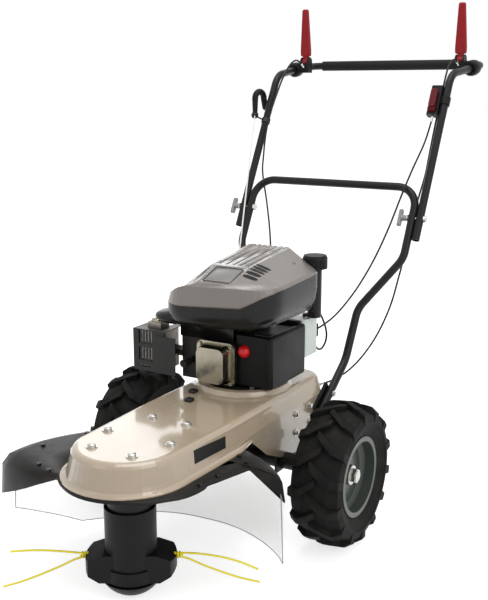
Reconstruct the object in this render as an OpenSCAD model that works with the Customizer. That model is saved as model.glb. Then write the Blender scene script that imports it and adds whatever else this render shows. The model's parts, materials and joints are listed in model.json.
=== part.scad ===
// Wheeled string trimmer: cutting head on a glide dome, pressed deck, engine over the axle, tube handle.
// Origin on the ground under the spindle, +Z up, the machine's front towards -Y. Lengths in millimetres.

/* [Stance] */
// Spindle axis to wheel axle
wheelbase = 424; // [410:1:440]
// Distance between the tyres' centre planes
track = 552; // [540:1:580]
// Tyre outside diameter
tyre_od = 330; // [322:1:338]
// Tyre width
tyre_w = 120; // [112:1:128]
// Rim diameter at the bead
rim_d = 168; // [160:1:176]

/* [Deck] */
// Height of the deck's top face
deck_top = 325; // [318:1:332]
// Half the deck's width at its top edge
deck_half = 125; // [122:1:130]
// Radius of the nose at its top edge
nose_r = 116; // [113:1:119]
// Rear end of the deck behind the spindle
deck_rear = 645; // [635:1:655]
// Sheet thickness of the deck
deck_t = 2.5; // [2:0.5:3]
// Height of the nose's skirt
skirt_h = 61; // [57:1:63]

/* [Cutting head] */
// Spindle shaft diameter
spindle_d = 25; // [22:1:28]
// Spindle housing diameter
housing_d = 94; // [86:1:98]
// Drum diameter
drum_d = 107; // [105:1:112]
// Line holder, tip to tip
holder_len = 188; // [180:2:210]
// Line holder width
holder_w = 84; // [74:1:92]
// Glide dome diameter
dome_d = 124; // [116:1:140]
// Glide dome height
dome_h = 35; // [32:1:37]
// Turn of the head about its spindle at rest
head_turn = 30.6; // [0:0.1:90]
// Trimmer line diameter
line_d = 3.6; // [2.5:0.1:4.5]

/* [Guard] */
// Reach of the guard's wings from the spindle
guard_r = 318; // [312:1:322]
// Guard wall thickness
guard_t = 3; // [2:0.5:4]
// Curtain thickness
curtain_t = 2; // [1.5:0.5:3]

/* [Engine] */
// Crankshaft behind the axle
crank_back = 30; // [24:1:36]
// Half the width of the blower shroud
shroud_half = 148; // [142:1:154]
// Length of the blower shroud
shroud_len = 296; // [284:1:306]
// Wall of the shroud and the top cover
cover_t = 3; // [2:0.5:4]
// Width of the cylinder head and valve cover
head_w = 104; // [98:1:108]
// Fuel cap diameter
cap_d = 60; // [54:1:66]
// Primer bulb diameter
primer_d = 30; // [26:1:34]

/* [Handle] */
// Handle tube diameter
tube_d = 21; // [20:1:24]
// Handle tube wall
tube_wall = 1.5; // [1:0.25:2]
// Half the distance between the lower legs at the deck
leg_half = 150; // [149:0.5:153]
// Half the distance between the lower rails above the crank
rail_half = 243.5; // [240:0.5:252]
// Height of the handle bar
bar_z = 1086; // [1060:1:1110]
// Handle bar behind the spindle
bar_y = 1334; // [1320:1:1345]
// Half the distance between the side arms at the bar
bar_half = 286; // [278:1:294]
// Lean of the rails from the vertical
rake = 27.9; // [26:0.1:30]
// Grip diameter
grip_d = 29; // [27:0.5:33]

/* [Controls] */
// Lever length above its pivot
lever_len = 155; // [130:1:180]
// Lever width at its foot
lever_w = 33; // [28:1:36]
// Control cable diameter
cable_d = 5; // [4:0.5:6]
// Starter rope diameter
rope_d = 4; // [3:0.5:5]

/* [Fits] */
// Radial clearance of a running fit
run_gap = 0.05; // [0.02:0.01:0.1]
// Gap between seated pieces of one body
seat_gap = 0.05; // [0.02:0.01:0.1]
// Gap between neighbouring bodies
clear = 0.4; // [0.3:0.1:0.6]

/* [Hidden] */
$fn = 64;
// Overrun of every cut
over = 1;
axle_z = tyre_od / 2;
wheel_x = track / 2;
crank_y = wheelbase + crank_back;

// Elbow wall beyond the tube's, and how far a straight reaches into it
elbow_swell = 0.05;
elbow_bite = 1;

// Vector and curve helpers
function lerp(a, b, t) = a + (b - a) * t;
function unit(v) = v / norm(v);
function polar(r, a, z) = [r * cos(a), r * sin(a), z];
function catmull(a, b, c, d, t) =
    ((b * 2) + (c - a) * t + (a * 2 - b * 5 + c * 4 - d) * t * t + (b * 3 - a - c * 3 + d) * t * t * t) / 2;
function spline(p, n) = let (last = len(p) - 1) concat(
    [for (i = [0:last - 1], k = [0:n - 1])
        catmull(p[max(i - 1, 0)], p[i], p[i + 1], p[min(i + 2, last)], k / n)], [p[last]]);
function heading(p, i) = unit(p[min(i + 1, len(p) - 1)] - p[max(i - 1, 0)]);
// Points of one ring of radius r about p, square to the heading t
function ring(p, t, r, sides, ref) = let (n = unit(cross(ref, t)), b = cross(t, n))
    [for (k = [0:sides - 1]) p + n * r * cos(k * 360 / sides) + b * r * sin(k * 360 / sides)];

// Skin over rings of equal length, joined end to end or capped, each cap creased from point 0 to point fold
module skin(rings, closed = false, fold = 0) {
    n = len(rings[0]);
    m = len(rings);
    sides = [for (i = [0:(closed ? m : m - 1) - 1], j = [0:n - 1]) let (i2 = (i + 1) % m, j2 = (j + 1) % n)
        each [[i * n + j, i2 * n + j, i2 * n + j2], [i * n + j, i2 * n + j2, i * n + j2]]];
    halves = fold == 0 ? [[for (j = [0:n - 1]) j]] : [[for (j = [0:fold]) j], [for (j = [fold:n]) j % n]];
    caps = closed ? [] : concat(halves, [for (h = halves) [for (j = [len(h) - 1:-1:0]) (m - 1) * n + h[j]]]);
    polyhedron([for (r = rings) each r], concat(sides, caps));
}

// Round cord along a smooth curve through hand-picked points
module cord(points, d, sides, steps, ref) {
    path = spline(points, steps);
    skin([for (i = [0:len(path) - 1]) ring(path[i], heading(path, i), d / 2, sides, ref)]);
}

// Children turned so that their Z axis runs along v, standing at p
module along(p, v) {
    translate(p) rotate([0, acos(v.z / norm(v)), atan2(v.y, v.x)]) children();
}

// Bent tube through corner points: straight lengths joined by round elbows
module pipe(points, radii, d, wall) {
    last = len(points) - 1;
    dirs = [for (i = [0:last - 1]) unit(points[i + 1] - points[i])];
    // Length that each corner's elbow takes from its two straights
    cut = [for (i = [0:last]) i == 0 || i == last ? 0 :
        radii[i - 1] * tan(acos(dirs[i - 1] * dirs[i]) / 2)];
    // Each straight ends a little way inside its elbow, whose wall is a hair thicker
    for (i = [0:last - 1]) {
        from = i == 0 ? 0 : cut[i] - elbow_bite;
        to = i == last - 1 ? 0 : cut[i + 1] - elbow_bite;
        along(points[i] + dirs[i] * from, dirs[i])
            linear_extrude(norm(points[i + 1] - points[i]) - from - to) tube_section(d, wall);
    }
    for (i = [1:last - 1]) elbow(points[i], dirs[i - 1], dirs[i], radii[i - 1], cut[i], d + elbow_swell * 2,
        wall + elbow_swell * 2);
}

module tube_section(d, wall) {
    difference() {
        circle(d / 2);
        circle(d / 2 - wall);
    }
}

module elbow(p, a, b, r, cut, d, wall) {
    n = unit(b - a * (a * b));
    c = p - a * cut + n * r;
    x = -n;
    z = cross(x, a);
    multmatrix([[x.x, a.x, z.x, c.x], [x.y, a.y, z.y, c.y], [x.z, a.z, z.z, c.z], [0, 0, 0, 1]])
        rotate_extrude(angle = acos(a * b)) translate([r, 0]) tube_section(d, wall);
}

// Flat rounded rectangle, centred
module rrect(w, h, r) {
    square([w - r * 2, h], center = true);
    square([w, h - r * 2], center = true);
    for (x = [-1, 1], y = [-1, 1]) translate([x * (w / 2 - r), y * (h / 2 - r)]) circle(r);
}

// Ring of V-groove pulley about Z: groove centre at z, rim radius r
module groove_pulley(r, z, bore) {
    translate([0, 0, z]) rotate_extrude() polygon([[bore, -pulley_h / 2], [r, -pulley_h / 2],
        [r, -groove_w / 2], [r - groove_depth, -groove_w / 2 + groove_taper],
        [r - groove_depth, groove_w / 2 - groove_taper], [r, groove_w / 2], [r, pulley_h / 2],
        [bore, pulley_h / 2]]);
}

// Belt round two pulleys on the Y axis, its outside standing proud of both rims
module belt(r1, y1, r2, y2, z) {
    translate([0, 0, z - belt_h / 2]) linear_extrude(belt_h) difference() {
        belt_outline(r1 + belt_proud, y1, r2 + belt_proud, y2);
        belt_outline(r1 + belt_proud - belt_t, y1, r2 + belt_proud - belt_t, y2);
    }
}

module belt_outline(r1, y1, r2, y2) {
    hull() {
        translate([0, y1]) circle(r1);
        translate([0, y2]) circle(r2);
    }
}

// Deck values
skirt_z = deck_top - skirt_h;
skirt_flare = 8;
flare_drop = 45;
flare_z = deck_top - flare_drop;
// Flare of the nose's lower edge: shares of the reach, with the lift above the edge
lip_reach = 14;
lip_lift = 8;
lip_shares = [[0.2, 1], [0.55, 0.5], [1, 0.3], [1, 0]];
lip_back_shares = [[0.6, 0.2], [0.1, 0.7]];
lip_fade = 30;
crown_r = 16;
// Shares of the crown radius: inset and drop of the top edge's rounding
crown_shares = [[1, 0], [0.62, 0.07], [0.29, 0.29], [0.07, 0.62], [0, 1]];
side_start = 264;
side_knee = 364;
side_knee_drop = 78;
side_end = 575;
side_end_drop = 112;
corner_r = 46;
nose_steps = 22;
side_stations = 9;
corner_steps = 6;
crank_hole_r = 34;

// Drop of the deck's lower edge below the skirt at a distance behind the spindle
function deck_drop(y) = lookup(y, [[side_start, 0], [side_knee, side_knee_drop], [side_end, side_end_drop],
    [deck_rear - deck_t, 0]]);
// Plan outline of the deck, grown by off, from the left of the nose round to the left side
function deck_plan(off) = let (hw = deck_half + off, nr = nose_r + off, cr = corner_r + off,
    y0 = deck_rear + off - cr, rows = [for (k = [1:side_stations]) k / side_stations],
    flare_y = side_start * 0.8)
    concat(
        [for (k = [0:nose_steps]) [nr * cos(180 + k * 180 / nose_steps), nr * sin(180 + k * 180 / nose_steps)]],
        [for (t = rows) [lerp(nr, hw, min(1, t * y0 / flare_y)), t * y0]],
        [for (k = [1:corner_steps]) let (a = k * 90 / corner_steps) [hw - cr + cr * cos(a), y0 + cr * sin(a)]],
        [for (k = [0:corner_steps - 1]) let (a = 90 + k * 90 / corner_steps)
            [cr - hw + cr * cos(a), y0 + cr * sin(a)]],
        [for (k = [0:side_stations - 1]) let (t = rows[side_stations - 1 - k])
            [-lerp(nr, hw, min(1, t * y0 / flare_y)), t * y0]]);
// One level of the deck, and its lower edge, which flares at the nose and follows the side plates behind
function deck_ring(off, z) = [for (p = deck_plan(off)) [p.x, p.y, z]];
function lip_part(y) = lookup(y, [[side_start - lip_fade, 1], [side_start, 0]]);
function deck_edge(off, s) = let (a = deck_plan(off), b = deck_plan(off + s.x * lip_reach))
    [for (i = [0:len(a) - 1]) let (k = lip_part(a[i].y))
        [lerp(a[i].x, b[i].x, k), lerp(a[i].y, b[i].y, k), skirt_z - deck_drop(a[i].y) + s.y * lip_lift]];

nose_bolt_r = 8.5;
nose_bolt_shares = [[-0.43, -0.46], [0.43, -0.46], [-0.69, 0.3], [0.69, 0.3], [-0.38, 1.24], [0.38, 1.24]];
function nose_bolt(s) = [s.x * nose_r, s.y * nose_r];

module deck() {
    inset = deck_t;
    outer = [for (s = crown_shares) deck_ring(-s.x * crown_r, deck_top - s.y * crown_r)];
    inner = [for (s = crown_shares) deck_ring(-s.x * (crown_r - inset) - inset,
        deck_top - inset - s.y * (crown_r - inset))];
    wall = concat([deck_ring(skirt_flare, flare_z)], [for (s = lip_shares) deck_edge(skirt_flare, s)],
        [for (s = lip_back_shares) deck_edge(skirt_flare - inset, s)], [deck_ring(skirt_flare - inset, flare_z)]);
    rings = concat(outer, wall, [for (i = [len(inner) - 1:-1:0]) inner[i]]);
    color("wheat") difference() {
        skin([for (i = [len(rings) - 1:-1:0]) rings[i]]);
        translate([0, crank_y, deck_top - crown_r]) cylinder(r = crank_hole_r, h = crown_r + over);
        for (p = [[idler_x, idler_y], [guide_bolt_x, guide_bolt_y]]) translate([p.x, p.y, deck_top - crown_r])
            cylinder(r = small_bolt_r + seat_gap, h = crown_r + over);
        translate([-wheel_x, wheelbase, axle_z]) rotate([0, 90, 0]) cylinder(r = bush_r + seat_gap, h = track);
    }
}

// Frame bolts: domed heads with washers
bolt_head_h = 6;
washer_h = 2;
washer_r = 12;
small_bolt_r = 5;
idler_x = -64;
idler_y = 332;
idler_drop = 47;
guide_bolt_x = -37;
guide_bolt_y = 275;
guide_bolt_len = 24;
side_bolt_shares = [[0, 0], [0.98, 0.04], [1, -0.94], [0.01, -1.02]];
side_bolt_y = 474;
side_bolt_z = 263;
side_bolt_dy = 75;
side_bolt_dz = 45;
side_bolt_r = 6;
plate_x = deck_half + skirt_flare - deck_t;

module dome_bolt(r) {
    cylinder(r = r * washer_r / nose_bolt_r, h = washer_h);
    translate([0, 0, washer_h]) intersection() {
        cylinder(r = r, h = bolt_head_h);
        translate([0, 0, bolt_head_h - r * 2]) sphere(r * 2);
    }
}

module frame_bolts() {
    color("silver") {
        for (s = nose_bolt_shares) translate([nose_bolt(s).x, nose_bolt(s).y, deck_top]) dome_bolt(nose_bolt_r);
        translate([idler_x, idler_y, deck_top - idler_drop]) {
            cylinder(r = small_bolt_r, h = idler_drop);
            translate([0, 0, idler_drop]) cylinder(r = small_bolt_r * 1.6, h = bolt_head_h, $fn = 4);
        }
        translate([guide_bolt_x, guide_bolt_y, deck_top - guide_bolt_len]) {
            cylinder(r = small_bolt_r, h = guide_bolt_len);
            translate([0, 0, guide_bolt_len]) cylinder(r = small_bolt_r * 1.6, h = bolt_head_h, $fn = 4);
        }
        for (m = [0, 1], s = side_bolt_shares) mirror([m, 0, 0])
            translate([plate_x + deck_t, side_bolt_y + s.x * side_bolt_dy, side_bolt_z + s.y * side_bolt_dz])
                rotate([0, 90, 0]) dome_bolt(side_bolt_r);
        for (m = [0, 1], s = leg_bolt_shares) mirror([m, 0, 0])
            translate([leg_half + tube_d / 2, leg_point(s).y, leg_point(s).z])
                rotate([0, 90, 0]) dome_bolt(side_bolt_r);
        for (m = [-1, 1]) pivot_bolt(m);
        for (a = [-45, 45]) translate([flange_bolt_r * cos(a), crank_y + flange_bolt_r * sin(a),
            deck_top + flange_h]) cylinder(r = side_bolt_r, h = bolt_head_h, $fn = 6);
    }
}

// Guard: a fender about the spindle, low round the nose and deep behind it
guard_in = 116;
guard_top = skirt_z - seat_gap;
guard_stations = 60;
wing_start_angle = 28;
guard_lip = 8;
crest_in = 52;
// Pairs of angle and share of the guard's reach
guard_reach_shares = [[24, 0.7], [28, 1], [60, 0.935], [90, 0.9], [120, 0.92], [150, 0.97], [174, 1.02], [186, 1.03],
    [192, 0.93], [216, 0.475], [240, 0.462], [300, 0.47], [330, 0.53], [344, 0.575], [373, 0.6], [384, 0.7]];
// Pairs of angle and depth of the outer wall below the guard's top
guard_depth_shares = [[24, 0.2], [28, 0.62], [60, 0.6], [120, 0.65], [150, 0.9], [174, 1], [186, 1], [204, 0.45], [216, 0.16],
    [344, 0.12], [384, 0.2]];
guard_depth = 108;
rear_gap = 16;
rear_share = 0.3;
// Reach of the guard, which stays ahead of the gearbox
function guard_reach(a) = min(guard_r * lookup(a, guard_reach_shares),
    (input_y - input_r - rear_gap) / max(sin(a), rear_share));
function guard_fall(a) = guard_depth * lookup(a, guard_depth_shares);
// How far a station is wing rather than apron, nought to one
apron_share = 0.48;
wing_share = 0.4;
function wing(a) = min(1, max(0, (guard_reach(a) / guard_r - apron_share) / wing_share));
function guard_angle(i) = wing_start_angle - 4 + i * 360 / guard_stations;
function guard_section(a) = let (r = guard_reach(a), w = wing(a), f = guard_fall(a), c = crest_in * w)
    [[guard_in, guard_top], [lerp(guard_in, r - c, 0.5), guard_top], [r - c - guard_lip, guard_top],
     [r - c * 0.45 - guard_lip / 2, guard_top - f * 0.1], [r - c * 0.12, guard_top - f * 0.34], [r, guard_top - f]];
function guard_inside(a) = let (s = guard_section(a)) [for (i = [5:-1:0])
    i < 3 ? [s[i].x, s[i].y - guard_t] : i == 3 ? [s[i].x - guard_t * 0.6, s[i].y - guard_t * 0.8] :
    i == 4 ? [s[i].x - guard_t * 0.9, s[i].y - guard_t * 0.4] : [s[i].x - guard_t, s[i].y]];

module guard() {
    color("dimgray") skin([for (i = [0:guard_stations - 1]) let (a = guard_angle(i))
        [for (p = concat(guard_section(a), guard_inside(a))) polar(p.x, a, p.y)]], closed = true);
}

// Clear curtain inside the guard's outer wall
curtain_stations = 25;
curtain_start_angle = 30;
curtain_end_angle = 180;
curtain_gap = 0.8;
curtain_lap = 18;
// Pairs of angle and height of the lower edge as a share of the guard's top height
curtain_low_shares = [[28, 0.235], [45, 0.19], [75, 0.17], [115, 0.15], [140, 0.09], [150, 0.1], [168, 0.28], [182, 0.43]];
function curtain_section(a) = let (r = guard_reach(a) - guard_t - curtain_gap, z1 = guard_top - guard_fall(a) + curtain_lap,
    z0 = guard_top * lookup(a, curtain_low_shares), lean = curtain_lap * 0.3)
    [[r, z0], [r, z1 - curtain_lap], [r - lean, z1], [r - lean - curtain_t, z1], [r - curtain_t, z1 - curtain_lap],
     [r - curtain_t, z0]];

module curtain() {
    color([0.9, 0.92, 0.92, 0.4]) skin([for (i = [0:curtain_stations])
        let (a = lerp(curtain_start_angle, curtain_end_angle, i / curtain_stations))
        [for (p = curtain_section(a)) polar(p.x, a, p.y)]]);
}

// Dark bolts along the guard's edge: angle, and share of the reach at that angle
guard_bolt_shares = [[6, 0.86], [24, 0.9], [41, 0.78], [50, 0.78], [150, 0.8], [176, 0.76], [200, 0.78], [209, 0.9]];
guard_bolt_r = 5;
guard_bolt_h = 4;

module guard_bolts() {
    color("black") for (s = guard_bolt_shares) {
        a = s.x < wing_start_angle ? s.x + 360 : s.x;
        p = polar(min(s.y * guard_reach(a), guard_reach(a) - crest_in * wing(a) - guard_lip - guard_bolt_r), a,
            guard_top);
        translate(p) cylinder(r = guard_bolt_r, h = guard_bolt_h);
    }
}

// Spindle stack: housing, bearings, shaft and pulley
housing_low = 190;
plate_lift = 2;
plate_z = skirt_z + plate_lift;
plate_t = 4;
plate_r = 112;
bearing_r = 26;
bearing_h = 15;
bearing_inset = 5;
post_r = 7;
spindle_drop = 20;
spindle_top = deck_top - spindle_drop;
stub_r = 8;
stub_low = 8;
spindle_shoulder = 38;
pulley_h = 14;
groove_w = 11;
groove_depth = 7;
groove_taper = 1.6;
belt_h = 7.4;
belt_t = 6;
belt_proud = 0.5;
head_belt_drop = 44;
head_belt_z = deck_top - head_belt_drop;
drive_belt_drop = 24;
drive_belt_z = deck_top - drive_belt_drop;
spindle_pulley_r = 42;
crank_groove_r = 38;
crank_small_r = 30;
drive_pulley_r = 45;
hub_r = 20;
hub_h = 22;

module spindle_housing() {
    color("black") difference() {
        union() {
            translate([0, 0, housing_low]) cylinder(d = housing_d, h = plate_z - housing_low + plate_t);
            translate([0, 0, plate_z]) cylinder(r = plate_r, h = plate_t);
            for (i = [0:3]) let (p = nose_bolt(nose_bolt_shares[i]))
                translate([p.x, p.y, plate_z]) cylinder(r = post_r, h = deck_top - deck_t - plate_z);
        }
        translate([0, 0, housing_low - over]) cylinder(r = bearing_r, h = plate_z - housing_low + plate_t + over * 2);
    }
}

module spindle_bearings() {
    color("gainsboro") for (z = [housing_low + bearing_inset, plate_z + plate_t - bearing_inset - bearing_h])
        translate([0, 0, z]) difference() {
            cylinder(r = bearing_r - seat_gap, h = bearing_h);
            translate([0, 0, -over]) cylinder(r = spindle_d / 2 + run_gap, h = bearing_h + over * 2);
        }
}

module spindle_shaft() {
    color("silver") {
        translate([0, 0, spindle_shoulder]) cylinder(d = spindle_d, h = spindle_top - spindle_shoulder);
        translate([0, 0, stub_low]) cylinder(r = stub_r, h = spindle_shoulder - stub_low);
    }
}

module spindle_pulley() {
    bore = spindle_d / 2 + seat_gap;
    color("dimgray") {
        groove_pulley(spindle_pulley_r, head_belt_z, bore);
        translate([0, 0, head_belt_z + pulley_h / 2]) difference() {
            cylinder(r = hub_r, h = hub_h - pulley_h / 2);
            translate([0, 0, -over]) cylinder(r = bore, h = hub_h);
        }
    }
}

// Drum, line holder, lines and dome
drum_low = 66;
drum_wall = 3;
drum_lap = 2.5;
holder_lift = 3;
holder_low = dome_h + holder_lift;
holder_top = 98;
holder_slope = 14;
ear_in = drum_d / 2 + seat_gap * 4;
eyelet_r = 9;
eyelet_z = 80;
eyelet_h = 6;
hub_holder_r = 58;

module head_drum() {
    color("black") translate([0, 0, drum_low]) difference() {
        cylinder(d = drum_d, h = housing_low + drum_lap - drum_low);
        translate([0, 0, drum_wall * 3])
            cylinder(r = drum_d / 2 - drum_wall, h = housing_low - drum_low);
        translate([0, 0, -over]) cylinder(r = spindle_d / 2 + seat_gap, h = drum_wall * 3 + over * 2);
    }
}

module line_holder() {
    color("black") rotate([0, 0, head_turn]) difference() {
        union() {
            translate([0, 0, holder_low]) cylinder(r = hub_holder_r, h = drum_low - holder_low - seat_gap);
            intersection() {
                translate([0, holder_w / 2, 0]) rotate([90, 0, 0]) linear_extrude(holder_w)
                    polygon([[-holder_len / 2, eyelet_z - eyelet_r * 2.4], [-holder_len * 0.33, holder_low],
                        [holder_len * 0.33, holder_low], [holder_len / 2, eyelet_z - eyelet_r * 2.4],
                        [holder_len / 2, holder_top - holder_slope], [ear_in, holder_top], [-ear_in, holder_top],
                        [-holder_len / 2, holder_top - holder_slope]]);
                translate([0, 0, holder_low]) cylinder(r = holder_len / 2, h = holder_top - holder_low);
            }
        }
        translate([0, 0, drum_low - seat_gap]) cylinder(r = ear_in, h = holder_top);
        translate([0, 0, holder_low - over]) cylinder(r = spindle_d / 2 + seat_gap, h = holder_top);
        for (s = [-1, 1]) translate([s * (holder_len / 2 - eyelet_h), 0, eyelet_z]) rotate([0, s * 90, 0])
            cylinder(r = eyelet_r, h = holder_len);
    }
}

// Trimmer line strands in the head's own frame: from the eyelet out to the cut end, left pair and right pair
left_routes = [[[88.5, 0, 83], [116, 0, 84], [150, 0, 81], [190, 0, 74], [226, 0, 63], [262, 0, 47]],
    [[88.5, 0, 78], [116, 0, 72], [150, 0, 56], [190, 0, 40], [228, 0, 27], [266, 0, 18]]];
right_routes = [[[88.5, 0, 83], [116, 0, 85], [150, 0, 88], [190, 0, 90], [222, 0, 89], [250, 0, 87]],
    [[88.5, 0, 78], [116, 0, 70], [150, 0, 53], [190, 0, 35], [230, 0, 19], [269, 0, 7]]];
line_steps = 4;
line_sides = 8;

module lines(routes, turn) {
    color("yellow") rotate([0, 0, turn]) for (route = routes) cord(route, line_d, line_sides, line_steps, [0, 0, 1]);
}

module line_left() {
    lines(left_routes, head_turn);
}

module line_right() {
    lines(right_routes, head_turn + 180);
}

dome_flat_r = 18;
dome_wall = 3;
dome_boss_r = 16;
dome_floor = 6;
// Centre and radius of the ball that meets the flat bottom and the rim
dome_centre = (pow(dome_d / 2, 2) + dome_h * dome_h - dome_flat_r * dome_flat_r) / dome_h / 2;
dome_r = norm([dome_flat_r, dome_centre]);

module dome_ball(r, low) {
    intersection() {
        translate([0, 0, dome_centre]) sphere(r);
        translate([0, 0, low]) cylinder(r = dome_d, h = dome_h - low);
    }
}

module glide_dome() {
    color("black") difference() {
        union() {
            difference() {
                dome_ball(dome_r, 0);
                dome_ball(dome_r - dome_wall, dome_floor);
            }
            cylinder(r = dome_boss_r, h = spindle_shoulder - clear);
        }
        translate([0, 0, stub_low - clear]) cylinder(r = stub_r + run_gap, h = spindle_shoulder);
    }
}

// Engine block
flange_r = 92;
flange_h = 10;
flange_bolt_r = 80;
block_left = 100;
block_right = 30;
block_fore = 26;
block_front = crank_y - block_fore;
block_aft = 91;
block_back = crank_y + block_aft;
block_h = 163;
block_top = deck_top + block_h;
block_r = 14;
barrel_half = 42;
bore_x = -30;
bore_lift = 65;
bore_z = deck_top + bore_lift;
head_fore = 45;
head_y = wheelbase - head_fore;
head_t = 7;
fin_t = 3;
fin_count = 5;
fin_left = 42;
fin_right = 105;
fin_h = 104;
crank_r = 12.5;

module engine_block() {
    color("darkgray") difference() {
        union() {
            translate([0, crank_y, deck_top]) cylinder(r = flange_r, h = flange_h);
            translate([(block_right - block_left) / 2, (block_front + block_back) / 2, deck_top + flange_h])
                linear_extrude(block_top - deck_top - flange_h)
                    rrect(block_left + block_right, block_back - block_front, block_r);
            translate([bore_x - barrel_half, head_y, bore_z - barrel_half])
                cube([barrel_half * 2, block_front - head_y + block_r, barrel_half * 2]);
            translate([bore_x, head_y + head_t, bore_z]) rotate([90, 0, 0])
                linear_extrude(head_t) rrect(head_w, head_w, block_r);
            for (i = [1:fin_count]) translate([bore_x - fin_right, lerp(head_y + head_t, block_front, i / (fin_count + 1)),
                bore_z - fin_h / 2]) cube([fin_left + fin_right, fin_t, fin_h]);
            translate([bore_x - fin_right, muffler_y, muffler_z]) rotate([0, 90, 0])
                cylinder(r = pipe_r + head_t, h = fin_right);
        }
        translate([0, crank_y, deck_top - over]) cylinder(r = crank_r + run_gap, h = block_top);
    }
}

flywheel_lift = 14;
flywheel_z = block_top + flywheel_lift;
flywheel_r = 104;
flywheel_h = 22;
flywheel_dish = 14;
blade_count = 14;
blade_h = 16;
blade_t = 4;
crank_top = flywheel_z + flywheel_h + blade_h;
crank_drop = 58;
crank_low = deck_top - crank_drop;

module crankshaft() {
    color("silver") translate([0, crank_y, crank_low]) cylinder(r = crank_r, h = crank_top - crank_low);
}

module flywheel() {
    bore = crank_r + seat_gap;
    color("gray") translate([0, crank_y, flywheel_z]) {
        rotate_extrude() polygon([[bore, 0], [hub_r, 0], [flywheel_r - flywheel_dish, flywheel_h / 2], [flywheel_r, 0],
            [flywheel_r, flywheel_h], [bore, flywheel_h]]);
        for (i = [0:blade_count - 1]) rotate([0, 0, i * 360 / blade_count])
            translate([flywheel_r / 2, -blade_t / 2, flywheel_h - blade_t])
                cube([flywheel_r / 2 - blade_t, blade_t, blade_h + blade_t]);
    }
}

module engine_pulley() {
    bore = crank_r + seat_gap;
    color("dimgray") translate([0, crank_y, 0]) {
        groove_pulley(crank_groove_r, head_belt_z, bore);
        groove_pulley(crank_small_r, drive_belt_z, bore);
        translate([0, 0, head_belt_z + pulley_h / 2]) difference() {
            cylinder(r = hub_r, h = drive_belt_z - head_belt_z - pulley_h);
            translate([0, 0, -over]) cylinder(r = bore, h = pulley_h * 2);
        }
    }
}

// Valve cover: pressed box on a flange with ear screws
cover_depth = 30;
cover_flange = 3;
cover_corner = 16;
cover_draft = 10;
cover_screw_r = 5;
cover_screw_h = 5;
cover_screw_in = 9;

module valve_cover() {
    color("silver") translate([bore_x, head_y, bore_z]) rotate([90, 0, 0]) {
        linear_extrude(cover_flange) rrect(head_w, head_w, cover_corner);
        hull() {
            linear_extrude(cover_flange) rrect(head_w - cover_draft * 2, head_w - cover_draft, cover_corner);
            translate([0, 0, cover_depth - cover_flange]) linear_extrude(cover_flange)
                rrect(head_w - cover_draft * 3, head_w - cover_draft * 2, cover_corner);
        }
        for (x = [-1, 1], y = [-1, 1])
            translate([x * (head_w / 2 - cover_screw_in), y * (head_w / 2 - cover_screw_in), cover_flange])
                cylinder(r = cover_screw_r, h = cover_screw_h, $fn = 6);
    }
}

plug_out = 12;
plug_x = bore_x - head_w / 2 - plug_out;
plug_r = 6;
plug_hex_r = 10;
plug_hex_h = 9;
plug_len = 30;
boot_r = 9;
boot_len = 26;
plug_seat = 22;

module spark_plug() {
    color("white") translate([plug_x, head_y + head_t / 2, bore_z]) {
        rotate([0, 90, 0]) cylinder(r = plug_r, h = plug_out);
        rotate([90, 0, 0]) cylinder(r = plug_hex_r, h = plug_hex_h, $fn = 6);
        rotate([90, 0, 0]) cylinder(r = plug_r, h = plug_len);
        translate([0, -plug_seat, 0]) rotate([90, 0, 0]) cylinder(r = boot_r, h = boot_len);
    }
}

// Muffler and its guard, above the right wheel
muffler_x = -219;
muffler_fore = 10;
muffler_y = wheelbase - muffler_fore;
muffler_gap = 17;
muffler_low = tyre_od + muffler_gap;
muffler_lift = 118;
muffler_h = deck_top + muffler_lift - muffler_low;
muffler_z = muffler_low + muffler_h / 2;
muffler_w = 78;
muffler_d = 76;
muffler_r = 12;
pipe_r = 13;
shield_w = 40;
shield_h = 20;
shield_lift = 12;
guard_gap = 5;
sheet_t = 1.5;
slot_w = 4;
slot_share = 0.35;
slot_h = muffler_h * slot_share;
slot_pitch = 9;
slot_count = 5;
hole_r = 3.2;
baffle_w = 34;

module muffler() {
    color("gray") {
        translate([muffler_x, muffler_y, muffler_z - muffler_h / 2]) linear_extrude(muffler_h)
            rrect(muffler_w, muffler_d, muffler_r);
        translate([muffler_x + muffler_w / 2 - muffler_r, muffler_y, muffler_z]) rotate([0, 90, 0])
            cylinder(r = pipe_r, h = bore_x - fin_right - muffler_x - muffler_w / 2 + muffler_r - seat_gap);
        translate([muffler_x, muffler_y, muffler_z + muffler_h / 2])
            linear_extrude(shield_lift + guard_gap + sheet_t) rrect(shield_w, shield_w, shield_h / 4);
        for (x = [-1, 1]) translate([muffler_x + x * muffler_w * 0.36, muffler_y - muffler_d / 2, muffler_z - muffler_h * 0.4])
            rotate([90, 0, 0]) cylinder(r = guard_gap, h = guard_gap - seat_gap);
    }
}

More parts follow.
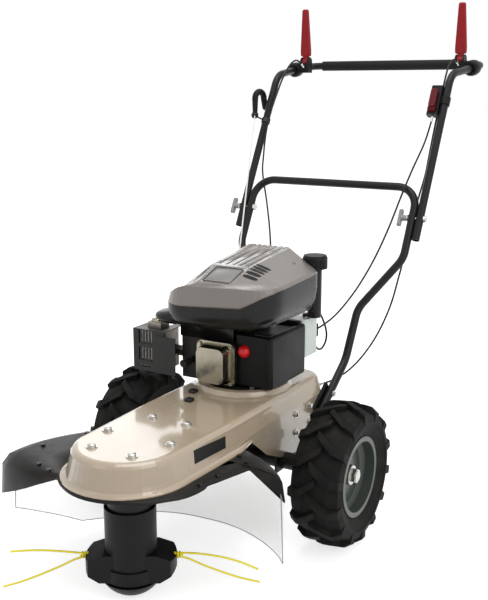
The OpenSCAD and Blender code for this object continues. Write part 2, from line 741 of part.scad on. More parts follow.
module muffler_guard() {
    w = muffler_w + (guard_gap + sheet_t) * 2;
    d = muffler_d + guard_gap * 2 + sheet_t;
    h = muffler_h + guard_gap * 2 - sheet_t;
    front = muffler_y - muffler_d / 2 - guard_gap - sheet_t;
    low = muffler_z - h / 2;
    color("black") difference() {
        translate([muffler_x - w / 2, front, low]) cube([w, d, h]);
        translate([muffler_x - w / 2 + sheet_t, front + sheet_t, low - over]) cube([w, d, h - sheet_t + over]);
        translate([muffler_x - shield_w / 2 - sheet_t, muffler_y - shield_w / 2 - sheet_t, low + h - sheet_t - over])
            cube([shield_w + sheet_t * 2, d, sheet_t + over * 2]);
        for (i = [0:slot_count - 1], row = [0, 1])
            translate([muffler_x + (i - (slot_count - 1) / 2) * slot_pitch - slot_w / 2 - slot_pitch, front - over,
                low + h * 0.25 + row * (slot_h + slot_pitch)]) cube([slot_w, sheet_t + over * 2, slot_h]);
        for (i = [0:slot_count - 2]) translate([muffler_x + (i - slot_count / 2) * slot_pitch, front - over, low + h * 0.12])
            rotate([-90, 0, 0]) cylinder(r = hole_r, h = sheet_t + over * 2);
        for (i = [0:slot_count - 1], row = [0, 1]) translate([muffler_x - w / 2 - over,
            muffler_y + (i - (slot_count - 1) / 2) * slot_pitch * 1.4, low + h * 0.2 + row * (slot_h + slot_pitch)])
            cube([sheet_t + over * 2, slot_w, slot_h]);
    }
    color("dimgray") translate([muffler_x + w / 2 - baffle_w / 2, front - sheet_t, low])
        cube([baffle_w * 1.5, sheet_t, h * 0.9]);
}

// Blower shroud and top cover: rounded plans lofted from a low rim over a waving seam and a crease to two top facets
shroud_r = 72;
shroud_lift = 161;
shroud_rise = 24;
seam_lift = 211;
seam_rise = 58;
crease_lift = 223;
crease_rise = 56;
crease_in = 5;
shroud_steps = 7;
shroud_tuck = 12;
shroud_mouth = 38;
// Plate from the rim down to the cylinder's fins
cowl_h = 51;
cover_gap = 0.3;
top_fore = 18;
top_aft = 17;
top_front_half = 44;
top_back_half = 58;
top_r = 14;
top_front_lift = 269;
fold_fore = 54;
fold_lift = 296;
top_back_lift = 318;
// Pairs of angle from the front, growing towards the left, and share of the rise
low_shares = [[-180, 1], [-90, 0.4], [-40, 0.1], [10, 0], [36, 0.55], [54, 0.9], [90, 0.8], [180, 1]];
seam_shares = [[-180, 1], [-110, 0.6], [-75, 0.1], [-40, 0], [18, 0], [28, 0.19], [44, 0.64], [58, 0.83], [90, 0.88],
    [125, 0.97], [180, 1]];
crease_shares = [[-180, 1], [-120, 0.75], [-90, 0.3], [-60, 0], [-45, 0.2], [-30, 0.6], [-15, 0.7], [0, 0.714],
    [60, 0.786], [90, 0.83], [140, 0.94], [180, 1]];
shroud_front = crank_y - shroud_len / 2;
shroud_back = crank_y + shroud_len / 2;
top_front = shroud_front + top_fore;
top_back = shroud_back - top_aft;
fold_y = crank_y - fold_fore;
fold_index = (shroud_steps + 1) * 2 + 1;
front_slope = atan2(fold_lift - top_front_lift, fold_y - top_front);
back_slope = atan2(top_back_lift - fold_lift, top_back - fold_y);
function front_angle(p) = atan2(p.x, crank_y - p.y);
function low_z(p) = deck_top + shroud_lift + shroud_rise * lookup(front_angle(p), low_shares);
function seam_z(p) = deck_top + seam_lift + seam_rise * lookup(front_angle(p), seam_shares);
function crease_z(p) = deck_top + crease_lift + crease_rise * lookup(front_angle(p), crease_shares);
function top_z(y) = deck_top + lookup(y, [[top_front, top_front_lift], [fold_y, fold_lift], [top_back, top_back_lift]]);
// Rounded plan with its own half width at front and back, from the left fold point round by the back
function hood_plan(front, back, y0, y1, r) = let (fold = lerp(front, back, (fold_y - y0) / (y1 - y0)),
    corners = [[back - r, y1 - r], [r - back, y1 - r], [r - front, y0 + r], [front - r, y0 + r]])
    [for (q = [0:3]) each concat(q == 0 ? [[fold, fold_y]] : q == 2 ? [[-fold, fold_y]] : [],
        [for (k = [0:shroud_steps]) let (a = (q + k / shroud_steps) * 90) corners[q] + [cos(a), sin(a)] * r])];
function body_plan(inset) = hood_plan(shroud_half - inset, shroud_half - inset, shroud_front + inset, shroud_back - inset,
    shroud_r - inset);
function top_plan(inset) = hood_plan(top_front_half - inset, top_back_half - inset, top_front + inset, top_back - inset,
    top_r);
function low_ring(inset, lift) = [for (p = body_plan(inset)) [p.x, p.y, low_z(p) + lift]];
function seam_ring(inset, lift) = [for (p = body_plan(inset)) [p.x, p.y, seam_z(p) + lift]];
function mid_ring(inset, t) = [for (p = body_plan(inset)) [p.x, p.y, lerp(low_z(p), seam_z(p), t)]];
function crease_ring(inset) = [for (p = body_plan(crease_in + inset)) [p.x, p.y, crease_z(p) - inset]];
function top_ring(inset) = [for (p = top_plan(inset)) [p.x, p.y, top_z(p.y) - inset]];

cap_x = 118;
cap_aft = 140;
cap_back = crank_y + cap_aft;
neck_r = 17;
neck_lift = 150;
neck_low = deck_top + neck_lift;
cap_h = 32;
cap_lift = 271;
cap_low = deck_top + cap_lift;

module blower_shroud() {
    t = cover_t;
    color([0.16, 0.16, 0.17]) difference() {
        union() {
            skin([low_ring(shroud_mouth, t), low_ring(shroud_mouth, 0), low_ring(shroud_tuck, 0), mid_ring(t, 0.3),
                mid_ring(0, 0.6), seam_ring(0, 0), seam_ring(t, 0), mid_ring(t, 0.6), mid_ring(t * 2, 0.3),
                low_ring(shroud_tuck + t, t)], closed = true);
            translate([cap_x, cap_back, neck_low]) cylinder(r = neck_r, h = cap_low - neck_low - cover_gap);
            translate([bore_x - fin_right, head_y + head_t + clear, bore_z + fin_h / 2 + seat_gap])
                cube([fin_right + fin_left, t, cowl_h]);
        }
        translate([cap_x, cap_back, neck_low - over]) cylinder(r = neck_r - t, h = cap_low);
    }
}

// Cover details: recessed panel on the front facet, grooves on the back one, slots in the sides and the back edge
panel_w = 72;
panel_len = 64;
panel_in = 9;
panel_recess = 2;
groove_count = 5;
groove_pitch = 19;
groove_gap = 4;
groove_in = 10;
groove_len = 158;
vent_count = 5;
vent_pitch = 15;
vent_fore = 83;
vent_x = 66;
vent_len = 32;
vent_w = 7;
vent_h = 24;
vent_drop = 6;
vent_tilt = 18;
dash_count = 6;
dash_pitch = 15;
dash_w = 7;
dash_len = 12;
dash_h = 5;
cover_screw_x = 101;
cover_screw_aft = 65;
cover_screw_bore = 4;

module engine_cover() {
    t = cover_t;
    color([0.62, 0.59, 0.55]) difference() {
        skin([top_ring(t), crease_ring(t), seam_ring(t, cover_gap), seam_ring(0, cover_gap), crease_ring(0), top_ring(0)],
            fold = fold_index);
        translate([0, top_front, deck_top + top_front_lift]) rotate([front_slope, 0, 0])
            translate([-panel_w / 2, panel_in, -panel_recess]) cube([panel_w, panel_len, panel_recess + over]);
        translate([0, fold_y, deck_top + fold_lift]) rotate([back_slope, 0, 0]) for (i = [0:groove_count - 1])
            translate([(i - (groove_count - 1) / 2) * groove_pitch - groove_gap / 2, groove_in, -panel_recess])
                cube([groove_gap, groove_len, panel_recess + over]);
        for (m = [-1, 1], i = [0:vent_count - 1]) let (y = crank_y - vent_fore + i * vent_pitch)
            translate([m * vent_x, y, top_z(y) - vent_drop]) rotate([0, m * vent_tilt, 0])
                cube([vent_len, vent_w, vent_h], center = true);
        for (i = [0:dash_count - 1]) translate([(i - (dash_count - 1) / 2) * dash_pitch, top_back, deck_top + top_back_lift])
            cube([dash_w, dash_len, dash_h], center = true);
        for (m = [-1, 1]) translate([m * cover_screw_x, crank_y + cover_screw_aft, deck_top + crease_lift])
            cylinder(r = cover_screw_bore, h = top_back_lift - crease_lift);
        translate([cap_x, cap_back, deck_top + seam_lift]) cylinder(r = cap_d / 2 + clear, h = cap_low);
    }
}

// Air filter box with the primer in its front wall
box_left = 14;
box_right = 111;
box_side = block_right + seat_gap;
box_fore = 32;
box_front = wheelbase - box_fore;
box_aft = 135;
box_back = wheelbase + box_aft;
box_front_d = 30;
box_lift = 18;
box_low = deck_top + box_lift;
box_h = 119;
box_top = box_low + box_h;
box_r = 6;
box_lid = 14;
box_lid_gap = 2;
primer_gap = 2;
primer_x = bore_x + head_w / 2 + primer_d / 2 + primer_gap;
primer_lift = 100;
primer_z = deck_top + primer_lift;
primer_out = 15;
primer_base = 6;
primer_pocket = 14;

module air_filter_box() {
    h = box_h;
    color([0.13, 0.13, 0.13]) difference() {
        union() {
            translate([(box_left + box_right) / 2, box_front + box_front_d / 2, box_low]) linear_extrude(h)
                rrect(box_right - box_left, box_front_d, box_r);
            translate([(box_side + box_right) / 2, (box_front + box_back) / 2, box_low]) linear_extrude(h)
                rrect(box_right - box_side, box_back - box_front, box_r);
        }
        translate([box_right - box_lid, box_front - over, box_low - over])
            cube([box_lid_gap, box_back - box_front + over * 2, h * 0.06 + over]);
        for (z = [box_low + h * 0.12, box_top - h * 0.12]) translate([box_right - box_lid_gap, box_front - over, z])
            cube([box_lid_gap * 2, box_back - box_front + over * 2, box_lid_gap]);
        translate([box_right - box_r * 2, box_front - box_r, box_low - over]) rotate([0, 0, -45])
            translate([0, -box_r * 3, 0]) cube([box_r * 6, box_r * 3, h + over * 2]);
        translate([primer_x, box_front - over, primer_z]) rotate([-90, 0, 0])
            cylinder(r = primer_d / 2 + clear, h = primer_pocket + over);
    }
}

module primer_bulb() {
    r = primer_d / 2;
    color("red") translate([primer_x, box_front + primer_base, primer_z]) rotate([90, 0, 0]) rotate_extrude()
        polygon(concat([[0, 0], [r, 0], [r, primer_base]], [for (a = [15:15:75]) [r * cos(a), primer_base + primer_out * sin(a)]],
            [[0, primer_base + primer_out]]));
}

// Carburettor behind the crankcase, tank behind the air box
carb_x = -4;
carb_w = 46;
carb_d = 36;
carb_lift = 70;
carb_z = deck_top + carb_lift;
carb_h = 46;
bowl_r = 16;
bowl_h = 26;
tank_left = 58;
tank_right = 110;
tank_front = box_back + seat_gap;
tank_aft = 184;
tank_back = crank_y + tank_aft;
tank_lift = 52;
tank_low = deck_top + tank_lift;
tank_h = 94;
tank_top = tank_low + tank_h;
tank_r = 16;
tank_neck = 8;

module carburettor() {
    color("lightgray") translate([carb_x, block_back + carb_d / 2, carb_z]) {
        linear_extrude(carb_h) rrect(carb_w, carb_d, tank_neck);
        translate([0, 0, -bowl_h]) cylinder(r = bowl_r, h = bowl_h);
        translate([0, carb_d / 2, carb_h / 2]) rotate([-90, 0, 0]) cylinder(r = bowl_r, h = tank_neck);
    }
}

module fuel_tank() {
    color([0.9, 0.94, 0.9, 0.8]) {
        translate([(tank_left + tank_right) / 2, (tank_front + tank_back) / 2, tank_low]) linear_extrude(tank_h)
            rrect(tank_right - tank_left, tank_back - tank_front, tank_r);
        translate([cap_x - neck_r, cap_back, tank_top]) cylinder(r = tank_neck, h = neck_low - tank_top - seat_gap);
    }
}

module fuel_cap() {
    r = cap_d / 2;
    color([0.12, 0.12, 0.12]) translate([cap_x, cap_back, cap_low]) difference() {
        union() {
            cylinder(r = r, h = cap_h * 0.8);
            translate([0, 0, cap_h * 0.8]) cylinder(r1 = r, r2 = r * 0.9, h = cap_h * 0.2);
        }
        for (a = [0:20:340]) rotate([0, 0, a]) translate([r + neck_r * 0.06, 0, -over]) cylinder(r = neck_r * 0.13, h = cap_h * 0.7);
    }
}

hose_d = 8;
hose_sides = 10;
hose_route = [[104, 610.5, 484], [104, 640, 474], [101, 678, 448], [103, 698, 414], [102, 698, 388], [99, 678, 374],
    [96, 655, 384], [95, 641, 396]];

module fuel_hose() {
    color([0.1, 0.1, 0.1]) cord(hose_route, hose_d, hose_sides, cable_steps, [1, 0, 0]);
}

// Belts, idler and gearbox
module head_belt() {
    color([0.08, 0.08, 0.08]) belt(spindle_pulley_r, 0, crank_groove_r, crank_y, head_belt_z);
}

input_fore = 118;
input_y = crank_y - input_fore;

module drive_belt() {
    color([0.08, 0.08, 0.08]) belt(drive_pulley_r, input_y, crank_small_r, crank_y, drive_belt_z);
}

idler_r = 20;
idler_arm_len = 61;
idler_lag = 12;
arm_w = 20;
arm_t = 3;
arm_lift = 8.5;

module idler_arm() {
    color("silver") translate([idler_x, idler_y, head_belt_z]) rotate([0, 0, -90 - idler_lag]) {
        translate([0, 0, arm_lift]) difference() {
            union() {
                cylinder(d = arm_w, h = arm_t);
                translate([0, -arm_w / 2, 0]) cube([idler_arm_len, arm_w, arm_t]);
                translate([idler_arm_len, 0, 0]) cylinder(d = arm_w, h = arm_t);
            }
            translate([0, 0, -over]) cylinder(r = small_bolt_r + run_gap, h = arm_t + over * 2);
        }
        translate([idler_arm_len, 0, -pulley_h / 2]) cylinder(r = idler_r, h = pulley_h);
        translate([idler_arm_len, 0, pulley_h / 2]) cylinder(r = hub_r / 2, h = arm_lift - pulley_h / 2);
    }
}

box_half = 56;
case_r = 44;
input_r = 32;
input_drop = 62;
input_top = deck_top - input_drop;
input_sink = 26;
input_low = axle_z - input_sink;
input_shaft_r = 9;
shaft_r = 12.5;
web_t = 36;

module gearbox() {
    color("gray") difference() {
        union() {
            translate([-box_half, wheelbase, axle_z]) rotate([0, 90, 0]) cylinder(r = case_r, h = box_half * 2);
            translate([0, input_y, input_low]) cylinder(r = input_r, h = input_top - input_low);
            translate([-web_t / 2, input_y, axle_z - web_t / 2]) cube([web_t, wheelbase - input_y, web_t]);
            for (s = [-1, 1]) translate([s > 0 ? box_half : -bracket_in, wheelbase, axle_z]) rotate([0, 90, 0])
                cylinder(r = bush_r, h = bracket_in - box_half);
        }
        translate([-bracket_in - over, wheelbase, axle_z]) rotate([0, 90, 0])
            cylinder(r = shaft_r + run_gap, h = (bracket_in + over) * 2);
        translate([0, input_y, input_low + web_t]) cylinder(r = input_shaft_r + run_gap, h = input_top);
    }
}

module drive_pulley() {
    color("dimgray") translate([0, input_y, 0]) {
        groove_pulley(drive_pulley_r, drive_belt_z, input_shaft_r / 2);
        translate([0, 0, input_low + web_t + clear])
            cylinder(r = input_shaft_r, h = drive_belt_z + pulley_h / 2 - input_low - web_t - clear);
    }
}

// Axle line: axle, bracket plates with bushes, nuts
bracket_t = 5;
bracket_in = plate_x - bracket_t - seat_gap;
bracket_fore = 40;
bracket_y0 = wheelbase - bracket_fore;
bracket_aft = 20;
bracket_y1 = side_bolt_y + side_bolt_dy + bracket_aft;
bracket_rise = 15;
bracket_top = side_bolt_z + bracket_rise;
bush_r = 20;
bush_gap = 5;
bush_end = wheel_x - tyre_w / 2 - bush_gap;
spacer_r = 18;
nut_r = 17;
nut_h = 12;
nut_washer_r = 22;
hub_len = 52;
axle_end = 2;
axle_half = wheel_x + hub_len / 2 + clear + washer_h + nut_h + axle_end;

module axle() {
    color("silver") {
        translate([-axle_half, wheelbase, axle_z]) rotate([0, 90, 0]) cylinder(r = shaft_r, h = axle_half * 2);
        for (m = [0, 1]) mirror([m, 0, 0]) translate([bush_end + clear, wheelbase, axle_z]) rotate([0, 90, 0])
            cylinder(r = spacer_r, h = wheel_x - hub_len / 2 - bush_end - clear * 2);
    }
}

module axle_brackets() {
    color("black") for (m = [0, 1]) mirror([m, 0, 0]) difference() {
        union() {
            translate([bracket_in, 0, 0]) rotate([90, 0, 90]) linear_extrude(bracket_t) polygon([
                [bracket_y0, axle_z - bush_r], [bracket_y0, axle_z + bush_r], [side_bolt_y - bush_r, bracket_top],
                [bracket_y1, bracket_top], [bracket_y1, side_bolt_z - side_bolt_dz - bush_r],
                [wheelbase + bush_r * 2, axle_z - bush_r]]);
            translate([bracket_in, wheelbase, axle_z]) rotate([0, 90, 0])
                cylinder(r = bush_r, h = bush_end - bracket_in);
        }
        translate([bracket_in - over, wheelbase, axle_z]) rotate([0, 90, 0])
            cylinder(r = shaft_r + run_gap, h = wheel_x);
    }
}

module axle_nuts() {
    color("silver") for (m = [0, 1]) mirror([m, 0, 0]) translate([wheel_x + hub_len / 2 + clear, wheelbase, axle_z])
        rotate([0, 90, 0]) difference() {
            union() {
                cylinder(r = nut_washer_r, h = washer_h);
                translate([0, 0, washer_h]) cylinder(r = nut_r, h = nut_h, $fn = 6);
            }
            translate([0, 0, -over]) cylinder(r = shaft_r + seat_gap, h = nut_h + washer_h + over * 2);
        }
}

// Wheels: pressed rim with a dished disc, agricultural tyre with staggered bars
rim_w = 96;
rim_lip = 8;
rim_t = 3;
rim_well = 14;
disc_in = 20;
wheel_hub_r = 24;
dish_r = 46;
tread_depth = 14;
carcass_r = tyre_od / 2 - tread_depth;
shoulder_drop = 19;
bead_h = 16;
tyre_wall = 9;
lug_count = 14;
lug_w = 15;
lug_sweep = 34;
lug_lap = 9;

module rim() {
    r = rim_d / 2;
    h = rim_w / 2;
    color([0.1, 0.13, 0.11]) {
        rotate_extrude() polygon([[r + rim_lip, -h], [r + rim_lip, -h + rim_t], [r, -h + rim_t], [r, -h * 0.45],
            [r - rim_well, -h * 0.3], [r - rim_well, h * 0.3], [r, h * 0.45], [r, h - rim_t], [r + rim_lip, h - rim_t],
            [r + rim_lip, h], [r - rim_t, h], [r - rim_t, h * 0.5], [r - rim_well - rim_t, h * 0.35],
            [dish_r, disc_in], [wheel_hub_r, hub_len / 2 - rim_t], [wheel_hub_r, hub_len / 2],
            [shaft_r + run_gap, hub_len / 2], [shaft_r + run_gap, -hub_len / 2], [wheel_hub_r, -hub_len / 2],
            [wheel_hub_r, disc_in - rim_t * 4], [dish_r, disc_in - rim_t], [r - rim_well - rim_t, h * 0.25],
            [r - rim_well - rim_t, -h * 0.35], [r - rim_t, -h * 0.5], [r - rim_t, -h]]);
    }
}

module lug_bars() {
    half = tyre_w / 2;
    for (i = [0:lug_count - 1], s = [-1, 1]) rotate([0, 0, (i + (s > 0 ? 0.5 : 0)) * 360 / lug_count])
        rotate([0, 90, 0]) translate([0, 0, carcass_r - tread_depth * 2]) linear_extrude(tread_depth * 4)
            polygon([[s * -lug_lap, -lug_sweep - lug_w / 2], [s * -lug_lap, -lug_sweep + lug_w / 2],
                [s * half * 0.55, lug_w / 2], [s * half, lug_w * 0.7], [s * half, -lug_w * 0.5],
                [s * half * 0.6, -lug_w * 0.6]]);
}

module tyre() {
    r = rim_d / 2 + seat_gap;
    half = tyre_w / 2;
    bead = rim_w / 2 - rim_t - seat_gap;
    wall = tyre_wall;
    color([0.13, 0.12, 0.11]) {
        rotate_extrude() polygon([[r, -bead], [r + rim_lip + seat_gap, -bead], [r + bead_h, -bead - wall * 0.4],
            [r + bead_h * 2.2, -half + wall * 0.4],
            [carcass_r - shoulder_drop * 1.4, -half], [carcass_r - shoulder_drop * 0.6, -half + wall * 0.4],
            [carcass_r - shoulder_drop * 0.1, -half * 0.5], [carcass_r, 0], [carcass_r - shoulder_drop * 0.1, half * 0.5],
            [carcass_r - shoulder_drop * 0.6, half - wall * 0.4], [carcass_r - shoulder_drop * 1.4, half],
            [r + bead_h * 2.2, half - wall * 0.4], [r + bead_h, bead + wall * 0.4], [r + rim_lip + seat_gap, bead],
            [r, bead], [r, bead - wall],
            [r + bead_h, bead - wall], [carcass_r - shoulder_drop * 2, half - wall * 1.4], [carcass_r - wall * 2, 0],
            [carcass_r - shoulder_drop * 2, -half + wall * 1.4], [r + bead_h, -bead + wall], [r, -bead + wall]]);
        intersection() {
            lug_bars();
            rotate_extrude() polygon([[carcass_r - shoulder_drop * 1.5, -half], [tyre_od / 2 - shoulder_drop * 0.9, -half],
                [tyre_od / 2 - shoulder_drop * 0.25, -half * 0.7], [tyre_od / 2, 0],
                [tyre_od / 2 - shoulder_drop * 0.25, half * 0.7], [tyre_od / 2 - shoulder_drop * 0.9, half],
                [carcass_r - shoulder_drop * 1.5, half], [carcass_r - wall, half - wall], [carcass_r - wall * 1.5, 0],
                [carcass_r - wall, -half + wall]]);
        }
    }
}

// A wheel's own Z axis points outwards
module at_wheel(side) {
    translate([side * wheel_x, wheelbase, axle_z]) rotate([0, side * 90, 0]) children();
}

module rim_left() {
    at_wheel(1) rim();
}

module rim_right() {
    at_wheel(-1) rim();
}

module tyre_left() {
    at_wheel(1) tyre();
}

module tyre_right() {
    at_wheel(-1) mirror([1, 0, 0]) tyre();
}

// Handle: lower U with cranked legs, upper U bolted outside it
pivot_z = 688;
pivot_y = 905;
leg_y0 = 570;
leg_z0 = 240;
leg_y1 = 715;
leg_z1 = 340;
leg_y2 = 784;
leg_z2 = 460;
rail_low = 590;
cross_z = 764;
upper_low = 636;
upper_corner = 1056;
bend_leg = 90;
bend_crank = 70;
bend_cross = 58;
bend_arm = 62;
bend_bar = 46;
upper_half = rail_half + tube_d + clear;
function rail_y(z) = pivot_y + (z - pivot_z) * tan(rake);
// The left side arm, from the top of its rail out to the bar
arm_from = [upper_half, rail_y(upper_corner), upper_corner];
arm_to = [bar_half, bar_y, bar_z];
arm_dir = unit(arm_to - arm_from);
function arm_at(y) = lerp(arm_from, arm_to, (y - arm_from.y) / (arm_to.y - arm_from.y));
function leg_point(s) = [leg_half, lerp(leg_y0, leg_y1, s), lerp(leg_z0, leg_z1, s)];
leg_bolt_shares = [0.1, 0.36];
leg_plate_t = leg_half - tube_d / 2 - plate_x - deck_t - seat_gap * 2;
leg_plate_w = 34;

module lower_handle() {
    half = [[leg_half, leg_y0, leg_z0], [leg_half, leg_y1, leg_z1], [leg_half, leg_y2, leg_z2],
        [rail_half, rail_y(rail_low), rail_low], [rail_half, rail_y(cross_z), cross_z]];
    other = [for (i = [4:-1:0]) [-half[i].x, half[i].y, half[i].z]];
    color([0.12, 0.12, 0.13]) difference() {
        union() {
            pipe(concat(half, other), [bend_leg, bend_crank, bend_crank, bend_cross, bend_cross, bend_crank, bend_crank,
                bend_leg], tube_d, tube_wall);
            for (m = [0, 1]) mirror([m, 0, 0]) along([plate_x + deck_t + seat_gap, leg_point(leg_bolt_shares[0]).y,
                leg_point(leg_bolt_shares[0]).z], [0, leg_y1 - leg_y0, leg_z1 - leg_z0])
                translate([-leg_plate_w / 2, -leg_plate_t - tube_wall, -leg_plate_w / 2])
                    cube([leg_plate_w, leg_plate_t + tube_wall, leg_plate_w * 2.4]);
        }
        for (s = [-1, 1]) translate([s * rail_half - tube_d, pivot_y, pivot_z]) rotate([0, 90, 0])
            cylinder(r = pivot_r + seat_gap, h = tube_d * 2);
    }
}

module upper_handle() {
    half = [[upper_half, rail_y(upper_low), upper_low], arm_from, arm_to];
    other = [for (i = [2:-1:0]) [-half[i].x, half[i].y, half[i].z]];
    color([0.12, 0.12, 0.13]) difference() {
        pipe(concat(half, other), [bend_arm, bend_bar, bend_bar, bend_arm], tube_d, tube_wall);
        for (s = [-1, 1]) translate([s * upper_half - tube_d, pivot_y, pivot_z]) rotate([0, 90, 0])
            cylinder(r = pivot_r + run_gap, h = tube_d * 2);
    }
}

module grip() {
    half = bar_half - bend_bar * tan(acos(-arm_dir.x) / 2) - grip_d / 4;
    color([0.1, 0.1, 0.1]) translate([-half, bar_y, bar_z]) rotate([0, 90, 0]) difference() {
        cylinder(d = grip_d, h = half * 2);
        translate([0, 0, -over]) cylinder(d = tube_d + seat_gap * 2, h = (half + over) * 2);
    }
}

// Pivot bolts run towards -X through both rails, with a wing knob on their ends
pivot_r = 4;
pivot_head_r = 9;
knob_gap = 3;
knob_hub_r = 8;
knob_hub_h = 15;
knob_len = 46;
knob_w = 14;
knob_t = 8;
function bolt_from(s) = s > 0 ? upper_half + tube_d / 2 : -rail_half + tube_d / 2;
function bolt_to(s) = s > 0 ? rail_half - tube_d / 2 : -upper_half - tube_d / 2;

module pivot_bolt(s) {
    reach = bolt_from(s) - bolt_to(s) + knob_hub_h + clear;
    translate([bolt_to(s) - knob_hub_h, pivot_y, pivot_z]) rotate([0, 90, 0]) {
        cylinder(r = pivot_r, h = reach);
        translate([0, 0, reach]) cylinder(r = pivot_head_r, h = bolt_head_h);
        translate([0, 0, knob_hub_h - knob_gap + clear]) cylinder(r = pivot_head_r, h = knob_gap - clear * 2);
    }
}

module knob(s) {
    color("lightgray") translate([bolt_to(s) - knob_gap, pivot_y, pivot_z]) rotate([-rake, 0, 0]) rotate([0, -90, 0])
        difference() {
            union() {
                cylinder(r = knob_hub_r, h = knob_hub_h);
                translate([0, 0, knob_hub_h]) linear_extrude(knob_t) rrect(knob_len, knob_w, knob_w / 3);
            }
            translate([0, 0, -over]) cylinder(r = pivot_r + run_gap, h = knob_hub_h + over);
        }
}

module knob_left() {
    knob(1);
}

module knob_right() {
    knob(-1);
}

// Lever clamps on the side arms, with a pin for each lever
lever_x = 243;
lever_y = 1242;
lever_z = 1096;
lever_hub_r = 11;
lever_hub_w = 18;
lever_top_w = 20;
lever_t = 14;
lever_top_t = 9;
lever_lean = 3;
ear_t = 4;
neck_gap = 2;
lever_neck = lever_hub_r + ear_t + neck_gap;
pin_r = 4;
clamp_r = 16;
clamp_len = 30;

module lever_clamps() {
    p = arm_at(lever_y);
    color([0.14, 0.14, 0.14]) for (m = [0, 1]) mirror([m, 0, 0]) {
        difference() {
            union() {
                along(p - arm_dir * clamp_len / 2, arm_dir) cylinder(r = clamp_r, h = clamp_len);
                translate([lever_x - lever_hub_w / 2 - ear_t - clear, lever_y - clamp_len / 2, p.z - clamp_r * 0.6])
                    cube([p.x - lever_x + lever_hub_w / 2 + ear_t, clamp_len, lever_z - ear_t - p.z + clamp_r * 0.6]);
                for (x = [lever_x - lever_hub_w / 2 - ear_t - clear, lever_x + lever_hub_w / 2 + clear])
                    translate([x, lever_y, lever_z]) rotate([0, 90, 0]) cylinder(r = lever_hub_r + ear_t, h = ear_t);
            }
            along(p - arm_dir * clamp_len, arm_dir) cylinder(r = tube_d / 2 + seat_gap, h = clamp_len * 2);
            translate([lever_x, lever_y, lever_z]) rotate([0, 90, 0])
                cylinder(r = lever_hub_r + ear_t, h = lever_hub_w + clear * 2, center = true);
        }
        translate([lever_x - lever_hub_w / 2 - ear_t, lever_y, lever_z]) rotate([0, 90, 0])
            cylinder(r = pin_r, h = lever_hub_w + ear_t * 2);
    }
}

module lever() {
    color("red") translate([lever_x, lever_y, lever_z]) rotate([lever_lean, 0, 0]) difference() {
        union() {
            rotate([0, 90, 0]) cylinder(r = lever_hub_r, h = lever_hub_w, center = true);
            translate([0, 0, lever_neck / 2]) cube([lever_hub_w, lever_t * 0.9, lever_neck], center = true);
            hull() {
                translate([0, 0, lever_neck * 2]) linear_extrude(over) rrect(lever_w, lever_t, lever_t * 0.4);
                translate([0, 0, lever_len - over]) linear_extrude(over) rrect(lever_top_w, lever_top_t, lever_top_t * 0.4);
            }
            hull() {
                translate([0, 0, lever_neck * 2]) linear_extrude(over) rrect(lever_w, lever_t, lever_t * 0.4);
                translate([0, 0, lever_neck - over]) linear_extrude(over) rrect(lever_hub_w, lever_t, lever_t * 0.4);
            }
        }
        rotate([0, 90, 0]) cylinder(r = pin_r + run_gap, h = lever_hub_w * 2, center = true);
    }
}

module lever_left() {
    lever();
}

module lever_right() {
    mirror([1, 0, 0]) lever();
}

// Throttle on the left rail: housing strapped to the tube, red paddle on its front
throttle_z = 984;
throttle_w = 32;
throttle_d = 24;
throttle_h = 84;
throttle_r = 6;
paddle_w = 18;
paddle_h = 52;
paddle_t = 8;
paddle_r = 6;
strap_h = 22;
strap_t = 3;
paddle_pin = [-tube_d / 2 - throttle_w / 2, -throttle_d / 2, -paddle_h / 2];

module at_throttle() {
    translate([upper_half, rail_y(throttle_z), throttle_z]) rotate([-rake, 0, 0]) children();
}

module throttle_housing() {
    color([0.1, 0.1, 0.11]) at_throttle() {
        difference() {
            union() {
                translate([-tube_d / 2 - seat_gap - throttle_w / 2, 0, -throttle_h / 2]) linear_extrude(throttle_h)
                    rrect(throttle_w, throttle_d, throttle_r);
                translate([0, 0, -strap_h / 2]) cylinder(r = tube_d / 2 + strap_t, h = strap_h);
            }
            translate([0, 0, -throttle_h]) cylinder(r = tube_d / 2 + seat_gap, h = throttle_h * 2);
            translate(paddle_pin) rotate([0, 90, 0])
                cylinder(r = pin_r + paddle_r + clear, h = paddle_w + clear * 2, center = true);
        }
        translate(paddle_pin) rotate([0, 90, 0]) cylinder(r = pin_r, h = paddle_w + ear_t * 2, center = true);
    }
}

module throttle_lever() {
    color("darkred") at_throttle() translate(paddle_pin) difference() {
        union() {
            translate([0, -paddle_r - clear - paddle_t / 2, paddle_h * 0.5]) rotate([90, 0, 0])
                linear_extrude(paddle_t, center = true) rrect(paddle_w, paddle_h, paddle_r);
            rotate([0, 90, 0]) cylinder(r = pin_r + paddle_r, h = paddle_w, center = true);
        }
        rotate([0, 90, 0]) cylinder(r = pin_r + run_gap, h = paddle_w * 2, center = true);
    }
}

// Control cables: hand-picked routes
clutch_route = [[-247, 985, 822], [-244, 975, 795], [-237, 966, 768], [-226, 955, 742], [-206, 930, 712],
    [-165, 868, 678], [-125, 806, 640],
    [-92, 752, 592], [-70, 706, 520], [-58, 668, 430], [-52, 640, 360], [-50, 622, 334]];
clutch_upper_route = [[-243, 1225.5, 1082], [-244, 1206, 1094], [-245, 1176, 1100], [-247, 1140, 1084],
    [-247, 1100, 1048], [-246, 1066, 1008], [-246, 1030, 958], [-246, 1004, 908], [-246, 990, 860], [-247, 985.3, 823.1]];
drive_route = [[246, 989, 804], [244, 978, 778], [240, 963, 745], [234, 949, 700], [229, 930, 640], [225, 911, 590],
    [217, 893, 530], [203, 878, 456], [183, 845, 384], [164, 790, 332], [146, 734, 302], [127, 685, 289], [112, 646, 286]];
drive_upper_route = [[243, 1225.5, 1082], [243, 1205, 1092], [243, 1172, 1094], [244, 1132, 1070], [244, 1102, 1022],
    [244, 1078, 976], [244, 1058, 938], [244, 1034, 890], [245, 1011, 846], [246, 989.4, 804.8]];
